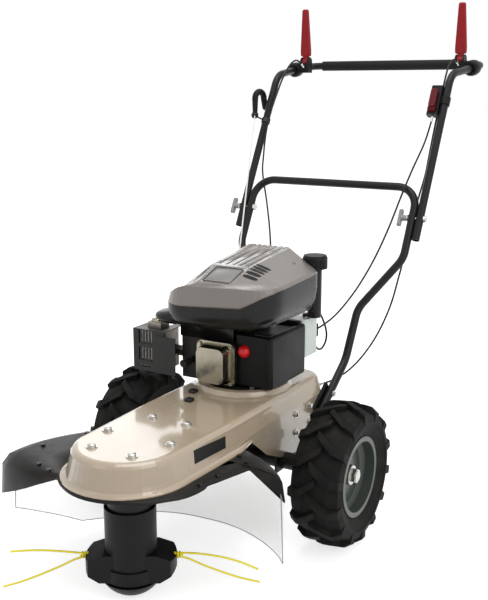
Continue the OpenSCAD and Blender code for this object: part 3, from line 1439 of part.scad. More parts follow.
throttle_route = [[238.4, 1041.8, 946.4], [237.6, 1029, 922], [233, 1000, 874], [222, 950, 810], [208, 910, 740],
    [190, 876, 660], [167, 838, 580], [142, 790, 510], [114, 738, 454], [92, 694, 427], [80, 662, 420], [76, 641, 420]];
cable_sides = 8;
cable_steps = 3;

module cable_clutch() {
    color("black") cord(clutch_route, cable_d, cable_sides, cable_steps, [1, 0, 0]);
}

module cable_drive() {
    color("black") cord(drive_route, cable_d, cable_sides, cable_steps, [1, 0, 0]);
}

module cable_throttle() {
    color("black") cord(throttle_route, cable_d, cable_sides, cable_steps, [1, 0, 0]);
}

module cables_upper() {
    color("black") {
        cord(clutch_upper_route, cable_d, cable_sides, cable_steps, [1, 0, 0]);
        cord(drive_upper_route, cable_d, cable_sides, cable_steps, [1, 0, 0]);
    }
}

// Starter: rope from the shroud to an eye on the right rail, with the grip above it
rope_from = [-97.4, 594.3, 599.4];
eye_z = 940;
eye_out = 29;
eye_fore = 22.4;
eye = [-upper_half - eye_out, rail_y(eye_z) - eye_fore, eye_z];
rope_dir = unit(eye - rope_from);
rope_len = norm(eye - rope_from);
rope_split_share = 0.78;
eye_r = 8;
wire_r = 2.5;
guide_ring = 14;
guide_drop = 15;
stem_r = 7;
stem_rise = 1;
stem_lift = stem_r + stem_rise;
stem_h = 42;
hook_r = 20;
hook_tube = 9;
hook_len = 26;
hook_turn = 80;
hook_splay = 16;

module starter_rope() {
    color("white") along(rope_from, rope_dir) cylinder(d = rope_d, h = rope_len * rope_split_share - clear);
}

module starter_rope_upper() {
    color("white") along(rope_from + rope_dir * rope_len * rope_split_share, rope_dir)
        cylinder(d = rope_d, h = rope_len * (1 - rope_split_share) + wire_r + clear - seat_gap);
}

module rope_guide() {
    p = [-upper_half, rail_y(eye.z - guide_drop), eye.z - guide_drop];
    color([0.15, 0.15, 0.15]) {
        along(eye, rope_dir) rotate_extrude() translate([eye_r, 0]) circle(wire_r);
        difference() {
            union() {
                along(p, [0, sin(rake), cos(rake)]) cylinder(r = tube_d / 2 + wire_r, h = guide_ring, center = true);
                along(p, eye - p) cylinder(r = wire_r, h = norm(eye - p) - eye_r);
            }
            along(p, [0, sin(rake), cos(rake)]) cylinder(r = tube_d / 2 + seat_gap, h = guide_ring * 4, center = true);
        }
    }
}

module starter_grip() {
    color([0.1, 0.1, 0.1]) translate(eye + rope_dir * (wire_r + clear)) {
        along([0, 0, 0], rope_dir) {
            cylinder(r = eye_r + wire_r, h = wire_r);
            cylinder(r = stem_r, h = stem_lift);
        }
        translate(rope_dir * stem_lift) rotate([0, 0, hook_turn]) {
            sphere(stem_r + elbow_swell);
            cylinder(r1 = stem_r, r2 = hook_tube - elbow_swell, h = stem_h + elbow_bite);
            translate([hook_r, 0, stem_h]) rotate([90, 0, 0]) rotate_extrude(angle = 180) translate([hook_r, 0])
                circle(hook_tube);
            translate([hook_r * 2, 0, stem_h]) {
                sphere(hook_tube + elbow_swell);
                rotate([0, 180 - hook_splay, 0]) {
                    cylinder(r = hook_tube - elbow_swell, h = hook_len);
                    translate([0, 0, hook_len]) sphere(hook_tube);
                }
            }
        }
    }
}

deck();
frame_bolts();
guard();
curtain();
guard_bolts();
spindle_housing();
spindle_bearings();
spindle_shaft();
spindle_pulley();
head_drum();
line_holder();
line_left();
line_right();
glide_dome();
engine_block();
crankshaft();
flywheel();
engine_pulley();
valve_cover();
spark_plug();
muffler();
muffler_guard();
blower_shroud();
engine_cover();
air_filter_box();
primer_bulb();
carburettor();
fuel_tank();
fuel_cap();
fuel_hose();
head_belt();
drive_belt();
idler_arm();
gearbox();
drive_pulley();
axle();
axle_brackets();
axle_nuts();
rim_left();
rim_right();
tyre_left();
tyre_right();
lower_handle();
upper_handle();
grip();
lever_clamps();
lever_left();
lever_right();
throttle_housing();
throttle_lever();
knob_left();
knob_right();
cable_clutch();
cable_drive();
cable_throttle();
cables_upper();
rope_guide();
starter_rope();
starter_rope_upper();
starter_grip();
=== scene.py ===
"""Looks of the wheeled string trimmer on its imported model: camera, finishes, cords, trim, floor and light."""
import json
import math

import bmesh
import bpy
from mathutils import Matrix, Vector
from mathutils.bvhtree import BVHTree


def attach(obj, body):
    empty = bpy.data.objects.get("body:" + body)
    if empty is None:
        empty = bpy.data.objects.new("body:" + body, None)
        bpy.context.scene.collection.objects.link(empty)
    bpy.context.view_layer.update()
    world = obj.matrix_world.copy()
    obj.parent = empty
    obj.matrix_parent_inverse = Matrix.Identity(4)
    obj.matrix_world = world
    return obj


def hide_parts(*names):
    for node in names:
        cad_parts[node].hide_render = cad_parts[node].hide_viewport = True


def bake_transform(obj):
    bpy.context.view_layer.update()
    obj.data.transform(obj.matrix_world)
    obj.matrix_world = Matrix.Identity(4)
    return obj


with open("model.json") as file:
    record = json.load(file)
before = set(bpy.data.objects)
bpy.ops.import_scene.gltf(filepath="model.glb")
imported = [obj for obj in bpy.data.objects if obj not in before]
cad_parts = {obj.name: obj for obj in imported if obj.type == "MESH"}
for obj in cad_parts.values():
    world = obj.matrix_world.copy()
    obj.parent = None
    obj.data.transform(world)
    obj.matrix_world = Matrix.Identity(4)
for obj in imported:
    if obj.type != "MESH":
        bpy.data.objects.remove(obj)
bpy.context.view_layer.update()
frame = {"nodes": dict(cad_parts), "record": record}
nodes = frame["nodes"]
scene = bpy.context.scene
scene.view_settings.view_transform = "Standard"

MM = 0.001
FULL_TURN = 360
HALF_TURN = 180
UP = (0, 0, 1)

# Camera, solved from the tyre, the deck and the handle in the photograph
CAMERA_PLACE = (1.0986, -1.4009, 1.0219)
CAMERA_TURN = math.radians(30.6)
CAMERA_PITCH = 12.84
CAMERA_TILT = math.radians(90 - CAMERA_PITCH)
FOCAL_PIXELS = 934.25
PHOTO_WIDTH = 488
PHOTO_HEIGHT = 600
SENSOR = 36


def add_camera():
    """Camera where the photograph was taken from."""
    data = bpy.data.cameras.new("camera")
    data.sensor_width = SENSOR
    data.lens = FOCAL_PIXELS * SENSOR / PHOTO_HEIGHT
    camera = bpy.data.objects.new("camera", data)
    camera.location = CAMERA_PLACE
    camera.rotation_euler = (CAMERA_TILT, 0, CAMERA_TURN)
    scene.collection.objects.link(camera)
    scene.camera = camera


# Finishes, with the stretch of the noise that is spread over the wanted values
NOISE_LOW = 0.3
NOISE_HIGH = 0.7


def new_material(name, color, rough, metal=0.0, coat=0.0, shine=0.5):
    """Plain material, with its node tree and its shader."""
    material = bpy.data.materials.new(name)
    material.use_nodes = True
    shader = material.node_tree.nodes["Principled BSDF"]
    shader.inputs["Base Color"].default_value = (*color, 1)
    shader.inputs["Roughness"].default_value = rough
    shader.inputs["Metallic"].default_value = metal
    shader.inputs["Coat Weight"].default_value = coat
    shader.inputs["Specular IOR Level"].default_value = shine
    return material, material.node_tree, shader


def scaled(color, share):
    return tuple(part * share for part in color)


def add_noise(tree, scale, detail=4.0):
    place = tree.nodes.new("ShaderNodeTexCoord")
    noise = tree.nodes.new("ShaderNodeTexNoise")
    noise.inputs["Scale"].default_value = scale
    noise.inputs["Detail"].default_value = detail
    tree.links.new(place.outputs["Object"], noise.inputs["Vector"])
    return noise.outputs["Fac"]


def add_bump(tree, shader, scale, detail, strength, distance):
    bump = tree.nodes.new("ShaderNodeBump")
    bump.inputs["Strength"].default_value = strength
    bump.inputs["Distance"].default_value = distance
    tree.links.new(add_noise(tree, scale, detail), bump.inputs["Height"])
    tree.links.new(bump.outputs["Normal"], shader.inputs["Normal"])


def vary_gloss(tree, shader, scale, low, high):
    """Lets the roughness wander between two values."""
    ramp = tree.nodes.new("ShaderNodeMapRange")
    ramp.inputs["From Min"].default_value = NOISE_LOW
    ramp.inputs["From Max"].default_value = NOISE_HIGH
    ramp.inputs["To Min"].default_value = low
    ramp.inputs["To Max"].default_value = high
    tree.links.new(add_noise(tree, scale), ramp.inputs["Value"])
    tree.links.new(ramp.outputs["Result"], shader.inputs["Roughness"])


def vary_color(tree, shader, scale, dark, light, detail=4.0):
    """Lets the colour wander between two tones."""
    ramp = tree.nodes.new("ShaderNodeValToRGB")
    low, high = ramp.color_ramp.elements
    low.position = NOISE_LOW
    low.color = (*dark, 1)
    high.position = NOISE_HIGH
    high.color = (*light, 1)
    tree.links.new(add_noise(tree, scale, detail), ramp.inputs["Fac"])
    tree.links.new(ramp.outputs["Color"], shader.inputs["Base Color"])


def paint(name, color, rough, coat=0.0, shine=0.5):
    """Sprayed paint: faint orange peel and a little change of gloss."""
    material, tree, shader = new_material(name, color, rough, coat=coat, shine=shine)
    shader.inputs["Coat Roughness"].default_value = 0.08
    add_bump(tree, shader, scale=420, detail=2, strength=0.04, distance=0.001)
    vary_gloss(tree, shader, scale=14, low=rough * 0.85, high=rough * 1.2)
    return material


def moulded(name, color, rough, grain=900, depth=0.12, shine=0.5):
    """Moulded plastic with a fine grain."""
    material, tree, shader = new_material(name, color, rough, shine=shine)
    add_bump(tree, shader, scale=grain, detail=2, strength=depth, distance=0.0006)
    vary_gloss(tree, shader, scale=20, low=rough * 0.88, high=rough * 1.12)
    return material


def bare_metal(name, color, rough, grain=160):
    """Bare or plated metal with uneven polish."""
    material, tree, shader = new_material(name, color, rough, metal=1.0)
    vary_gloss(tree, shader, scale=grain, low=rough * 0.7, high=rough * 1.35)
    vary_color(tree, shader, scale=grain * 0.3, dark=scaled(color, 0.82), light=color)
    return material


def cast_metal(name, color, rough, metal):
    """Rough sand casting."""
    material, tree, shader = new_material(name, color, rough, metal=metal, shine=0.2)
    add_bump(tree, shader, scale=700, detail=6, strength=0.35, distance=0.0008)
    vary_color(tree, shader, scale=60, dark=scaled(color, 0.7), light=color)
    return material


def clear_sheet(name, tint, alpha):
    """Thin clear sheet: mostly see-through, with a soft sheen and faint scuffs."""
    material, tree, shader = new_material(name, tint, rough=0.12)
    shader.inputs["Alpha"].default_value = alpha
    vary_gloss(tree, shader, scale=30, low=0.1, high=0.2)
    return material


def metallic_shell(name, color, rough):
    """Plastic with a fine metallic fleck under a satin skin, and with softly rounded edges."""
    material, tree, shader = new_material(name, color, rough, metal=0.15, coat=0.75)
    shader.inputs["Coat Roughness"].default_value = 0.22
    round_edges = tree.nodes.new("ShaderNodeBevel")
    round_edges.samples = 8
    round_edges.inputs["Radius"].default_value = 0.007
    for socket in ("Normal", "Coat Normal"):
        tree.links.new(round_edges.outputs["Normal"], shader.inputs[socket])
    vary_color(tree, shader, scale=2600, dark=scaled(color, 0.9), light=scaled(color, 1.12), detail=2)
    vary_gloss(tree, shader, scale=18, low=rough * 0.9, high=rough * 1.1)
    return material


def tyre_rubber():
    """Dull rubber, darker in patches."""
    material, tree, shader = new_material("tyre_rubber", (0.016, 0.015, 0.0145), rough=0.7, shine=0.12)
    add_bump(tree, shader, scale=500, detail=5, strength=0.25, distance=0.0008)
    vary_color(tree, shader, scale=28, dark=(0.006, 0.0058, 0.0055), light=(0.016, 0.015, 0.014))
    return material


# One finish for each of the record's slots
MATERIALS = {
    "cream_paint": paint("cream_paint", (0.41, 0.328, 0.232), 0.3, coat=1.0),
    "black_paint": paint("black_paint", (0.008, 0.008, 0.0083), 0.36, shine=0.22),
    "dark_paint": paint("dark_paint", (0.052, 0.062, 0.053), 0.35),
    "zinc": bare_metal("zinc", (0.62, 0.61, 0.58), 0.3),
    "dark_steel": bare_metal("dark_steel", (0.05, 0.05, 0.052), 0.42),
    "bright_steel": bare_metal("bright_steel", (0.34, 0.31, 0.24), 0.17, grain=60),
    "cast_alloy": cast_metal("cast_alloy", (0.2, 0.2, 0.2), 0.5, metal=0.8),
    "cast_black": cast_metal("cast_black", (0.02, 0.02, 0.021), 0.5, metal=0.2),
    "hot_steel": bare_metal("hot_steel", (0.32, 0.29, 0.26), 0.38, grain=90),
    "black_plastic": moulded("black_plastic", (0.007, 0.007, 0.0072), 0.42, shine=0.16),
    "grey_plastic": metallic_shell("grey_plastic", (0.17, 0.152, 0.137), 0.42),
    "clear_plastic": clear_sheet("clear_plastic", (0.9, 0.865, 0.85), alpha=0.18),
    "tank_plastic": moulded("tank_plastic", (0.7, 0.76, 0.72), 0.3),
    "red_plastic": moulded("red_plastic", (0.27, 0.008, 0.0125), 0.3, grain=1200, depth=0.03, shine=0.22),
    "knob_plastic": moulded("knob_plastic", (0.26, 0.27, 0.28), 0.45),
    "line_nylon": moulded("line_nylon", (0.95, 0.82, 0.02), 0.3, depth=0.02),
    "belt_rubber": moulded("belt_rubber", (0.01, 0.01, 0.01), 0.55, shine=0.25),
    "red_rubber": moulded("red_rubber", (0.7, 0.006, 0.012), 0.3, depth=0.03),
    "foam": moulded("foam", (0.012, 0.012, 0.0125), 0.75, grain=1600, depth=0.3, shine=0.2),
    "tyre": tyre_rubber(),
    "rope": moulded("rope", (0.7, 0.7, 0.67), 0.8, grain=1800, depth=0.4),
}
SHROUD_BLACK = moulded("shroud_black", (0.01, 0.0096, 0.0092), 0.26, grain=1200, depth=0.03, shine=0.22)
HEM_CLEAR = clear_sheet("hem_clear", (0.3, 0.29, 0.285), alpha=0.6)
PANEL_GREY = moulded("panel_grey", (0.2, 0.195, 0.19), 0.3, grain=1600, depth=0.02)
# Finishes of single nodes that differ from the rest of their slot
NODE_FINISHES = {
    "blower_shroud": SHROUD_BLACK,
    "guard": moulded("guard_black", (0.012, 0.0108, 0.01), 0.45, grain=700, depth=0.1, shine=0.16),
    "throttle_lever": moulded("throttle_red", (0.1, 0.005, 0.007), 0.4, grain=1200, depth=0.03, shine=0.2),
    "muffler_guard": paint("muffler_black", (0.014, 0.0134, 0.0125), 0.4, shine=0.3),
    "engine_block": cast_metal("fin_black", (0.035, 0.033, 0.031), 0.55, metal=0.6),
}
NODE_SLOTS = {part["node"]: part["material_slot"] for part in frame["record"]["subparts"]}
# Angles in degrees above which an edge stays sharp
PIECE_EDGE = 34
NODE_EDGE = 32


# Mesh helpers
def finish_piece(name, mesh, slot, body, finish=None, edge=PIECE_EDGE):
    """Makes an object of a bmesh, with its finish, and lets it ride on a body when one is given."""
    bmesh.ops.recalc_face_normals(mesh, faces=mesh.faces)
    data = bpy.data.meshes.new(name)
    mesh.to_mesh(data)
    mesh.free()
    data.materials.append(finish or MATERIALS[slot])
    data.shade_smooth()
    data.set_sharp_from_angle(angle=math.radians(edge))
    piece = bpy.data.objects.new(name, data)
    scene.collection.objects.link(piece)
    if body is not None:
        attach(piece, body)
    return piece


def spline(points, steps):
    """Smooth curve through given points in millimetres, returned in metres."""
    points = [Vector(p) * MM for p in points]
    last = len(points) - 1
    path = []
    for i in range(last):
        a, b, c, d = points[max(i - 1, 0)], points[i], points[i + 1], points[min(i + 2, last)]
        linear = c - a
        square = a * 2 - b * 5 + c * 4 - d
        cube = b * 3 - a - c * 3 + d
        for k in range(steps):
            t = k / steps
            path.append((b * 2 + linear * t + square * t * t + cube * t ** 3) / 2)
    path.append(points[last])
    return path


def sides_along(path):
    """Two normals at each point of a path, carried along without twisting."""
    ahead = path[1:] + path[-1:]
    behind = path[:1] + path[:-1]
    tangents = [(after - before).normalized() for after, before in zip(ahead, behind)]
    side = tangents[0].orthogonal().normalized()
    pairs = []
    for tangent in tangents:
        side = (side - tangent * side.dot(tangent)).normalized()
        pairs.append((side, tangent.cross(side)))
    return pairs


def circle(centre, u, v, radius, sides):
    """Ring of points in the plane of two unit vectors: its centre in metres, its radius in millimetres."""
    angles = [math.tau * k / sides for k in range(sides)]
    return [centre + (u * math.cos(a) + v * math.sin(a)) * radius * MM for a in angles]


def loft(rings, closed=False):
    """Shell through rings of points, capped at both ends or joined end to end."""
    mesh = bmesh.new()
    rows = [[mesh.verts.new(point) for point in ring] for ring in rings]
    for low, high in zip(rows, rows[1:] + rows[:1] if closed else rows[1:]):
        for k in range(len(low)):
            after = (k + 1) % len(low)
            mesh.faces.new((low[k], low[after], high[after], high[k]))
    if not closed:
        mesh.faces.new(rows[0])
        mesh.faces.new(rows[-1])
    return mesh


def sweep(path, radius, sides):
    """Capped tube along a path in metres, with its radius in millimetres."""
    return loft([circle(point, u, v, radius, sides) for point, (u, v) in zip(path, sides_along(path))])


def round_corners(corners, radius, steps=5):
    """Outline of a convex polygon, given counter-clockwise, with its corners rounded."""
    points = []
    for i, corner in enumerate(corners):
        corner = Vector(corner)
        before = (Vector(corners[i - 1]) - corner).normalized() * radius
        after = (Vector(corners[(i + 1) % len(corners)]) - corner).normalized() * radius
        for k in range(steps + 1):
            t = k / steps
            points.append(corner + before * (1 - t) ** 2 + after * t ** 2)
    return points


def rounded_ring(width, depth, radius, z):
    """Rounded rectangle at a height, as a ring of points."""
    x, y = width / 2, depth / 2
    return [Vector((*p, z)) for p in round_corners([(-x, -y), (x, -y), (x, y), (-x, y)], radius)]


def ring_tube(outline, radius, sides):
    """Closed tube round a flat outline in metres, with its radius in millimetres."""
    count = len(outline)
    centre = sum(outline, Vector()) / count
    normal = (outline[0] - centre).cross(outline[count // 3] - centre).normalized()
    rings = []
    for i, point in enumerate(outline):
        along = (outline[(i + 1) % count] - outline[i - 1]).normalized()
        rings.append(circle(point, along.cross(normal), normal, radius, sides))
    return loft(rings, closed=True)


def lathe(place, axis, profile, sides=32, hollow=False):
    """Turned piece of pairs of radius and height, in millimetres; a hollow one joins end to end."""
    axis = Vector(axis).normalized()
    side = axis.orthogonal().normalized()
    other = axis.cross(side)
    start = Vector(place) * MM
    rings = [circle(start + axis * height * MM, side, other, radius, sides) for radius, height in profile]
    return loft(rings, closed=hollow)


def block(low, high, bevel, segments=3):
    """Rounded block between two corners, in millimetres."""
    low, high = Vector(low) * MM, Vector(high) * MM
    mesh = bmesh.new()
    bmesh.ops.create_cube(mesh, size=1)
    bmesh.ops.scale(mesh, vec=high - low, verts=mesh.verts)
    bmesh.ops.translate(mesh, vec=(low + high) / 2, verts=mesh.verts)
    bmesh.ops.bevel(mesh, geom=mesh.edges, offset=bevel * MM, segments=segments, profile=0.5, affect="EDGES")
    return mesh


def mirrored(place, side):
    """A place given for the operator's left, or its mirror image for side -1."""
    return Vector((side * place[0], *place[1:]))


# Cords: the routes of the part's source, in millimetres, the hose on a slightly rounder one
HEAD_TURN = 30.6
LINE_RADIUS = 2.2
CABLE_RADIUS = 2.5
ROPE_RADIUS = 2.0
HOSE_RADIUS = 2.6
LEFT_ROUTES = [
    [(88.5, 0, 83), (116, 0, 84), (150, 0, 81), (190, 0, 74), (226, 0, 63), (262, 0, 47)],
    [(88.5, 0, 78), (116, 0, 72), (150, 0, 56), (190, 0, 40), (228, 0, 27), (266, 0, 18)],
]
RIGHT_ROUTES = [
    [(88.5, 0, 83), (116, 0, 85), (150, 0, 88), (190, 0, 90), (222, 0, 89), (250, 0, 87)],
    [(88.5, 0, 78), (116, 0, 70), (150, 0, 53), (190, 0, 35), (230, 0, 19), (269, 0, 7)],
]
CLUTCH_ROUTE = [
    (-243, 1225.5, 1082), (-244, 1206, 1094), (-245, 1176, 1100), (-247, 1140, 1084), (-247, 1100, 1048),
    (-246, 1066, 1008), (-246, 1030, 958), (-246, 1004, 908), (-246, 990, 860), (-247, 985, 822),
    (-244, 975, 795), (-237, 966, 768), (-226, 955, 742), (-206, 930, 712), (-165, 868, 678),
    (-125, 806, 640), (-92, 752, 592), (-70, 706, 520), (-58, 668, 430), (-52, 640, 360), (-50, 622, 334),
]
DRIVE_ROUTE = [
    (243, 1225.5, 1082), (243, 1205, 1092), (243, 1172, 1094), (244, 1132, 1070), (244, 1102, 1022),
    (244, 1078, 976), (244, 1058, 938), (244, 1034, 890), (245, 1011, 846), (246, 989, 804), (244, 978, 778),
    (240, 963, 745), (234, 949, 700), (229, 930, 640), (225, 911, 590), (217, 893, 530), (203, 878, 456),
    (183, 845, 384), (164, 790, 332), (146, 734, 302), (127, 685, 289), (112, 646, 286),
]
THROTTLE_ROUTE = [
    (238.4, 1041.8, 946.4), (237.6, 1029, 922), (233, 1000, 874), (222, 950, 810), (208, 910, 740),
    (190, 876, 660), (167, 838, 580), (142, 790, 510), (114, 738, 454), (92, 694, 427), (80, 662, 420),
    (76, 641, 420),
]
HOSE_ROUTE = [
    (104, 610.5, 484), (104, 643, 478), (103, 666, 459), (102, 691, 427), (101, 702, 402), (100, 696, 382),
    (98.5, 677, 371), (96.5, 658, 376), (95, 641, 396),
]
# Each cable's name, route, start and end of the stretch at the handle's fold, and nodes replaced
CABLES = [
    ("clutch_cable", CLUTCH_ROUTE, (-206, 930, 712), (-246, 1030, 958), ("cable_clutch", "cables_upper")),
    ("drive_cable", DRIVE_ROUTE, (229, 930, 640), (244, 1034, 890), ("cable_drive", "cables_upper")),
    ("throttle_cable", THROTTLE_ROUTE, (190, 876, 660), (233, 1000, 874), ("cable_throttle",)),
]
FERRULE_PROFILE = [(2.6, -1), (3.6, 0), (3.6, 6), (3.2, 7), (3.2, 9), (3.6, 10), (3.6, 15), (2.7, 17)]
HOSE_CLAMP_PROFILE = [(2.7, -3), (3.6, -2.5), (3.6, 2.5), (2.7, 3)]
ROPE_START = Vector((-97.4, 594.3, 599.4))
ROPE_EYE = Vector((-293.9, 1016.027, 940))
ROPE_AXIS = (ROPE_EYE - ROPE_START).normalized()
ROPE_STEPS = 120
ROPE_PAST_EYE = 2
# The rope's tail: its reach before and past the eye, its share of the rope's radius and its steps
TAIL_BEFORE = 8
TAIL_PAST = 5
TAIL_SHARE = 0.9
TAIL_STEPS = 10


def add_line(name, route, turn, node):
    """One strand of trimmer line, as stiff nylon that leaves its eyelet and droops a little."""
    spin = Matrix.Rotation(math.radians(turn), 3, "Z")
    path = [spin @ p for p in spline(route, steps=6)]
    piece = finish_piece(name, sweep(path, LINE_RADIUS, sides=12), "line_nylon", "head")
    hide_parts(node)


def add_lines():
    for i, route in enumerate(LEFT_ROUTES):
        add_line(f"line_strand_left_{i + 1}", route, HEAD_TURN, "line_left")
    for i, route in enumerate(RIGHT_ROUTES):
        add_line(f"line_strand_right_{i + 1}", route, HEAD_TURN + HALF_TURN, "line_right")


def add_ferrule(name, path, body):
    """Crimped metal end of a cable, along the first stretch of its path."""
    axis = (path[1] - path[0]).normalized()
    return finish_piece(name, lathe(path[0] / MM, axis, FERRULE_PROFILE, sides=20), "zinc", body)


def add_cable(name, route, bend_start, bend_end, replaced):
    """Control cable from a lever on the handle down to the chassis."""
    path = spline(route, steps=5)
    piece = finish_piece(name, sweep(path, CABLE_RADIUS, sides=12), "belt_rubber", None)
    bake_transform(piece)
    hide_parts(*replaced)
    top = add_ferrule(f"{name}_end_top", path, "handle")
    low = add_ferrule(f"{name}_end_low", path[::-1], "chassis")


def add_cables():
    for row in CABLES:
        add_cable(*row)


def add_hose():
    """Fuel line behind the tank, with a clamp at each end."""
    path = spline(HOSE_ROUTE, steps=8)
    piece = finish_piece("fuel_line", sweep(path, HOSE_RADIUS, sides=20), "belt_rubber", "chassis")
    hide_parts("fuel_hose")
    for end, run in (("top", path), ("low", path[::-1])):
        axis = (run[3] - run[1]).normalized()
        clamp = lathe(run[2] / MM, axis, HOSE_CLAMP_PROFILE, sides=24)
        finish_piece(f"fuel_line_clamp_{end}", clamp, "zinc", "chassis")


def straight_run(low, high, steps):
    """Even points between two places in millimetres, in metres."""
    return [low.lerp(high, i / steps) * MM for i in range(steps + 1)]


def add_rope():
    """Starter rope, taut from the cover to the eye, with a short tail through the eye."""
    path = straight_run(ROPE_START, ROPE_EYE + ROPE_AXIS * ROPE_PAST_EYE, ROPE_STEPS)
    piece = finish_piece("pull_rope", sweep(path, ROPE_RADIUS, sides=14), "rope", None)
    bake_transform(piece)
    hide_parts("starter_rope", "starter_rope_upper")
    run = straight_run(ROPE_EYE - ROPE_AXIS * TAIL_BEFORE, ROPE_EYE + ROPE_AXIS * TAIL_PAST, TAIL_STEPS)
    tail = finish_piece("pull_rope_tail", sweep(run, ROPE_RADIUS * TAIL_SHARE, sides=14), "rope", None)
    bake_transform(tail)


def finish_nodes():
    """Gives every node its own or its slot's finish, and smooth shading up to its sharp edges."""
    for name, obj in nodes.items():
        obj.data.materials.clear()
        obj.data.materials.append(NODE_FINISHES.get(name, MATERIALS[NODE_SLOTS[name]]))
        obj.data.shade_smooth()
        obj.data.set_sharp_from_angle(angle=math.radians(NODE_EDGE))


# Nodes that get a smooth copy, each with the angle above which its edges stay sharp
SKINS = [("engine_cover", 24), ("blower_shroud", 40), ("guard", 44), ("curtain", 60)]
SKIN_JOIN = 0.02
# Where the guard is a thin lip: angle round the spindle, millimetres drawn in and share of depth kept
LIP_ROWS = [
    (206, 0, 1), (222, 8, 0.45), (318, 8, 0.45), (336, 15, 0.42), (352, 16, 0.42), (366, 17, 0.42),
    (378, 24, 0.42), (384, 8, 0.45), (388, 0, 1),
]
LIP_INNER = 125
LIP_WIDTH = 22
# Front end of the operator's left wing: the angles it takes up, the deck's edge beside it and its place in y
WING_ANGLES = (20, 60)
WING_INNER = 128
WING_FRONT = 150


def lip_row(angle):
    """Millimetres drawn in and share of depth kept at an angle."""
    for (a, pull, keep), (b, pull_next, keep_next) in zip(LIP_ROWS, LIP_ROWS[1:]):
        if a <= angle <= b:
            t = (angle - a) / (b - a)
            return pull + (pull_next - pull) * t, keep + (keep_next - keep) * t
    return 0, 1


def angle_round_spindle(point):
    """Degrees from the operator's left, where +X points, towards the rear."""
    return math.degrees(math.atan2(point.y, point.x)) % FULL_TURN


def thin_lip(mesh):
    """Draws the guard in round the deck's nose, where the photograph shows only a thin edge of it."""
    top = max(vertex.co.z for vertex in mesh.verts)
    wrap = LIP_ROWS[-1][0] - FULL_TURN
    for vertex in mesh.verts:
        angle = angle_round_spindle(vertex.co)
        pull, keep = lip_row(angle if angle > wrap else angle + FULL_TURN)
        reach = vertex.co.xy.length
        share = min(1, max(0, (reach / MM - LIP_INNER) / LIP_WIDTH))
        vertex.co.xy *= 1 - pull * MM * share / reach
        vertex.co.z = top - (top - vertex.co.z) * keep
        if WING_ANGLES[0] < angle < WING_ANGLES[1] and vertex.co.x > WING_INNER * MM:
            vertex.co.y = max(vertex.co.y, WING_FRONT * MM)


def add_smooth_copies():
    """Stands in for faceted nodes with copies whose points are joined, so that each shades as one skin."""
    for node, edge in SKINS:
        mesh = bmesh.new()
        mesh.from_mesh(nodes[node].data)
        bmesh.ops.remove_doubles(mesh, verts=mesh.verts, dist=SKIN_JOIN * MM)
        if node == "guard":
            thin_lip(mesh)
        piece = finish_piece(f"{node}_skin", mesh, NODE_SLOTS[node], "chassis", NODE_FINISHES.get(node), edge)
        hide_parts(node)


# Places on the surface of a node, for pieces that lie on it, with the height of the plumb lines in metres
DROP_HEIGHT = 2


def node_tree(node):
    """Search tree of a node's faces, for rays."""
    data = nodes[node].data
    return BVHTree.FromPolygons([v.co for v in data.vertices], [list(p.vertices) for p in data.polygons])


TREES = {name: node_tree(name) for name in ("deck", "engine_cover")}


def ray_hit(node, origin, ray):
    """Point where a ray meets a node, with the normal that faces the ray."""
    place, normal = TREES[node].ray_cast(Vector(origin), ray)[:2]
    return place, normal if normal.dot(ray) < 0 else -normal


def pixel_hit(node, u, v):
    """Where the camera's ray through a place in its picture meets a node."""
    turn = Matrix.Rotation(CAMERA_TURN, 3, "Z") @ Matrix.Rotation(CAMERA_TILT, 3, "X")
    ray = turn @ Vector((u - PHOTO_WIDTH / 2, PHOTO_HEIGHT / 2 - v, -FOCAL_PIXELS)).normalized()
    return ray_hit(node, CAMERA_PLACE, ray)


def drape(node, x, y):
    """Where a plumb line at x and y, in millimetres, meets the top of a node."""
    return ray_hit(node, (x * MM, y * MM, DROP_HEIGHT), Vector((0, 0, -1)))


def patch(node, corners, columns, rows, lift):
    """Thin plate on a node between four places in the picture: top left, top right, low right, low left."""
    top_left, top_right, low_right, low_left = (Vector(corner) for corner in corners)
    mesh = bmesh.new()
    grid = []
    for j in range(rows + 1):
        line = []
        for i in range(columns + 1):
            s, t = i / columns, j / rows
            u, v = top_left.lerp(top_right, s).lerp(low_left.lerp(low_right, s), t)
            place, normal = pixel_hit(node, u, v)
            rise = normal * lift * MM
            line.append((mesh.verts.new(place + rise), mesh.verts.new(place - rise)))
        grid.append(line)
    for j in range(rows):
        for i in range(columns):
            a, b, c, d = grid[j][i], grid[j][i + 1], grid[j + 1][i + 1], grid[j + 1][i]
            mesh.faces.new((a[0], b[0], c[0], d[0]))
            mesh.faces.new((a[1], d[1], c[1], b[1]))
    edge = [grid[0][i] for i in range(columns)] + [grid[j][columns] for j in range(rows)]
    edge += [grid[rows][i] for i in range(columns, 0, -1)] + [grid[j][0] for j in range(rows, 0, -1)]
    for here, after in zip(edge, edge[1:] + edge[:1]):
        mesh.faces.new((here[0], here[1], after[1], after[0]))
    return mesh


# Corners of the side plate, as places in the camera's picture
PLATE_CORNERS = [(193.6, 450.5), (225.3, 436.1), (225.6, 447.9), (194.7, 464.3)]
# Small pieces, with their places in millimetres
PANEL_PLACE = (0, 324, 594)
PANEL_SLOPE = 19.56
PANEL_LOW = (-34, 11, -2.2)
PANEL_HIGH = (34, 71, -0.6)
RIM_CORNERS = [(-36, 9), (36, 9), (36, 73), (-36, 73)]
RIM_LIFT = 0.2
RIM_RADIUS = 1.3
HEM_RADIUS = 1.1
HEM_STEPS = 6
VENT_COUNT = 5
VENT_START = 371
VENT_PITCH = 15
VENT_INNER = 49
VENT_OUTER = 86
VENT_HALF = 5.6
VENT_STEPS = 8
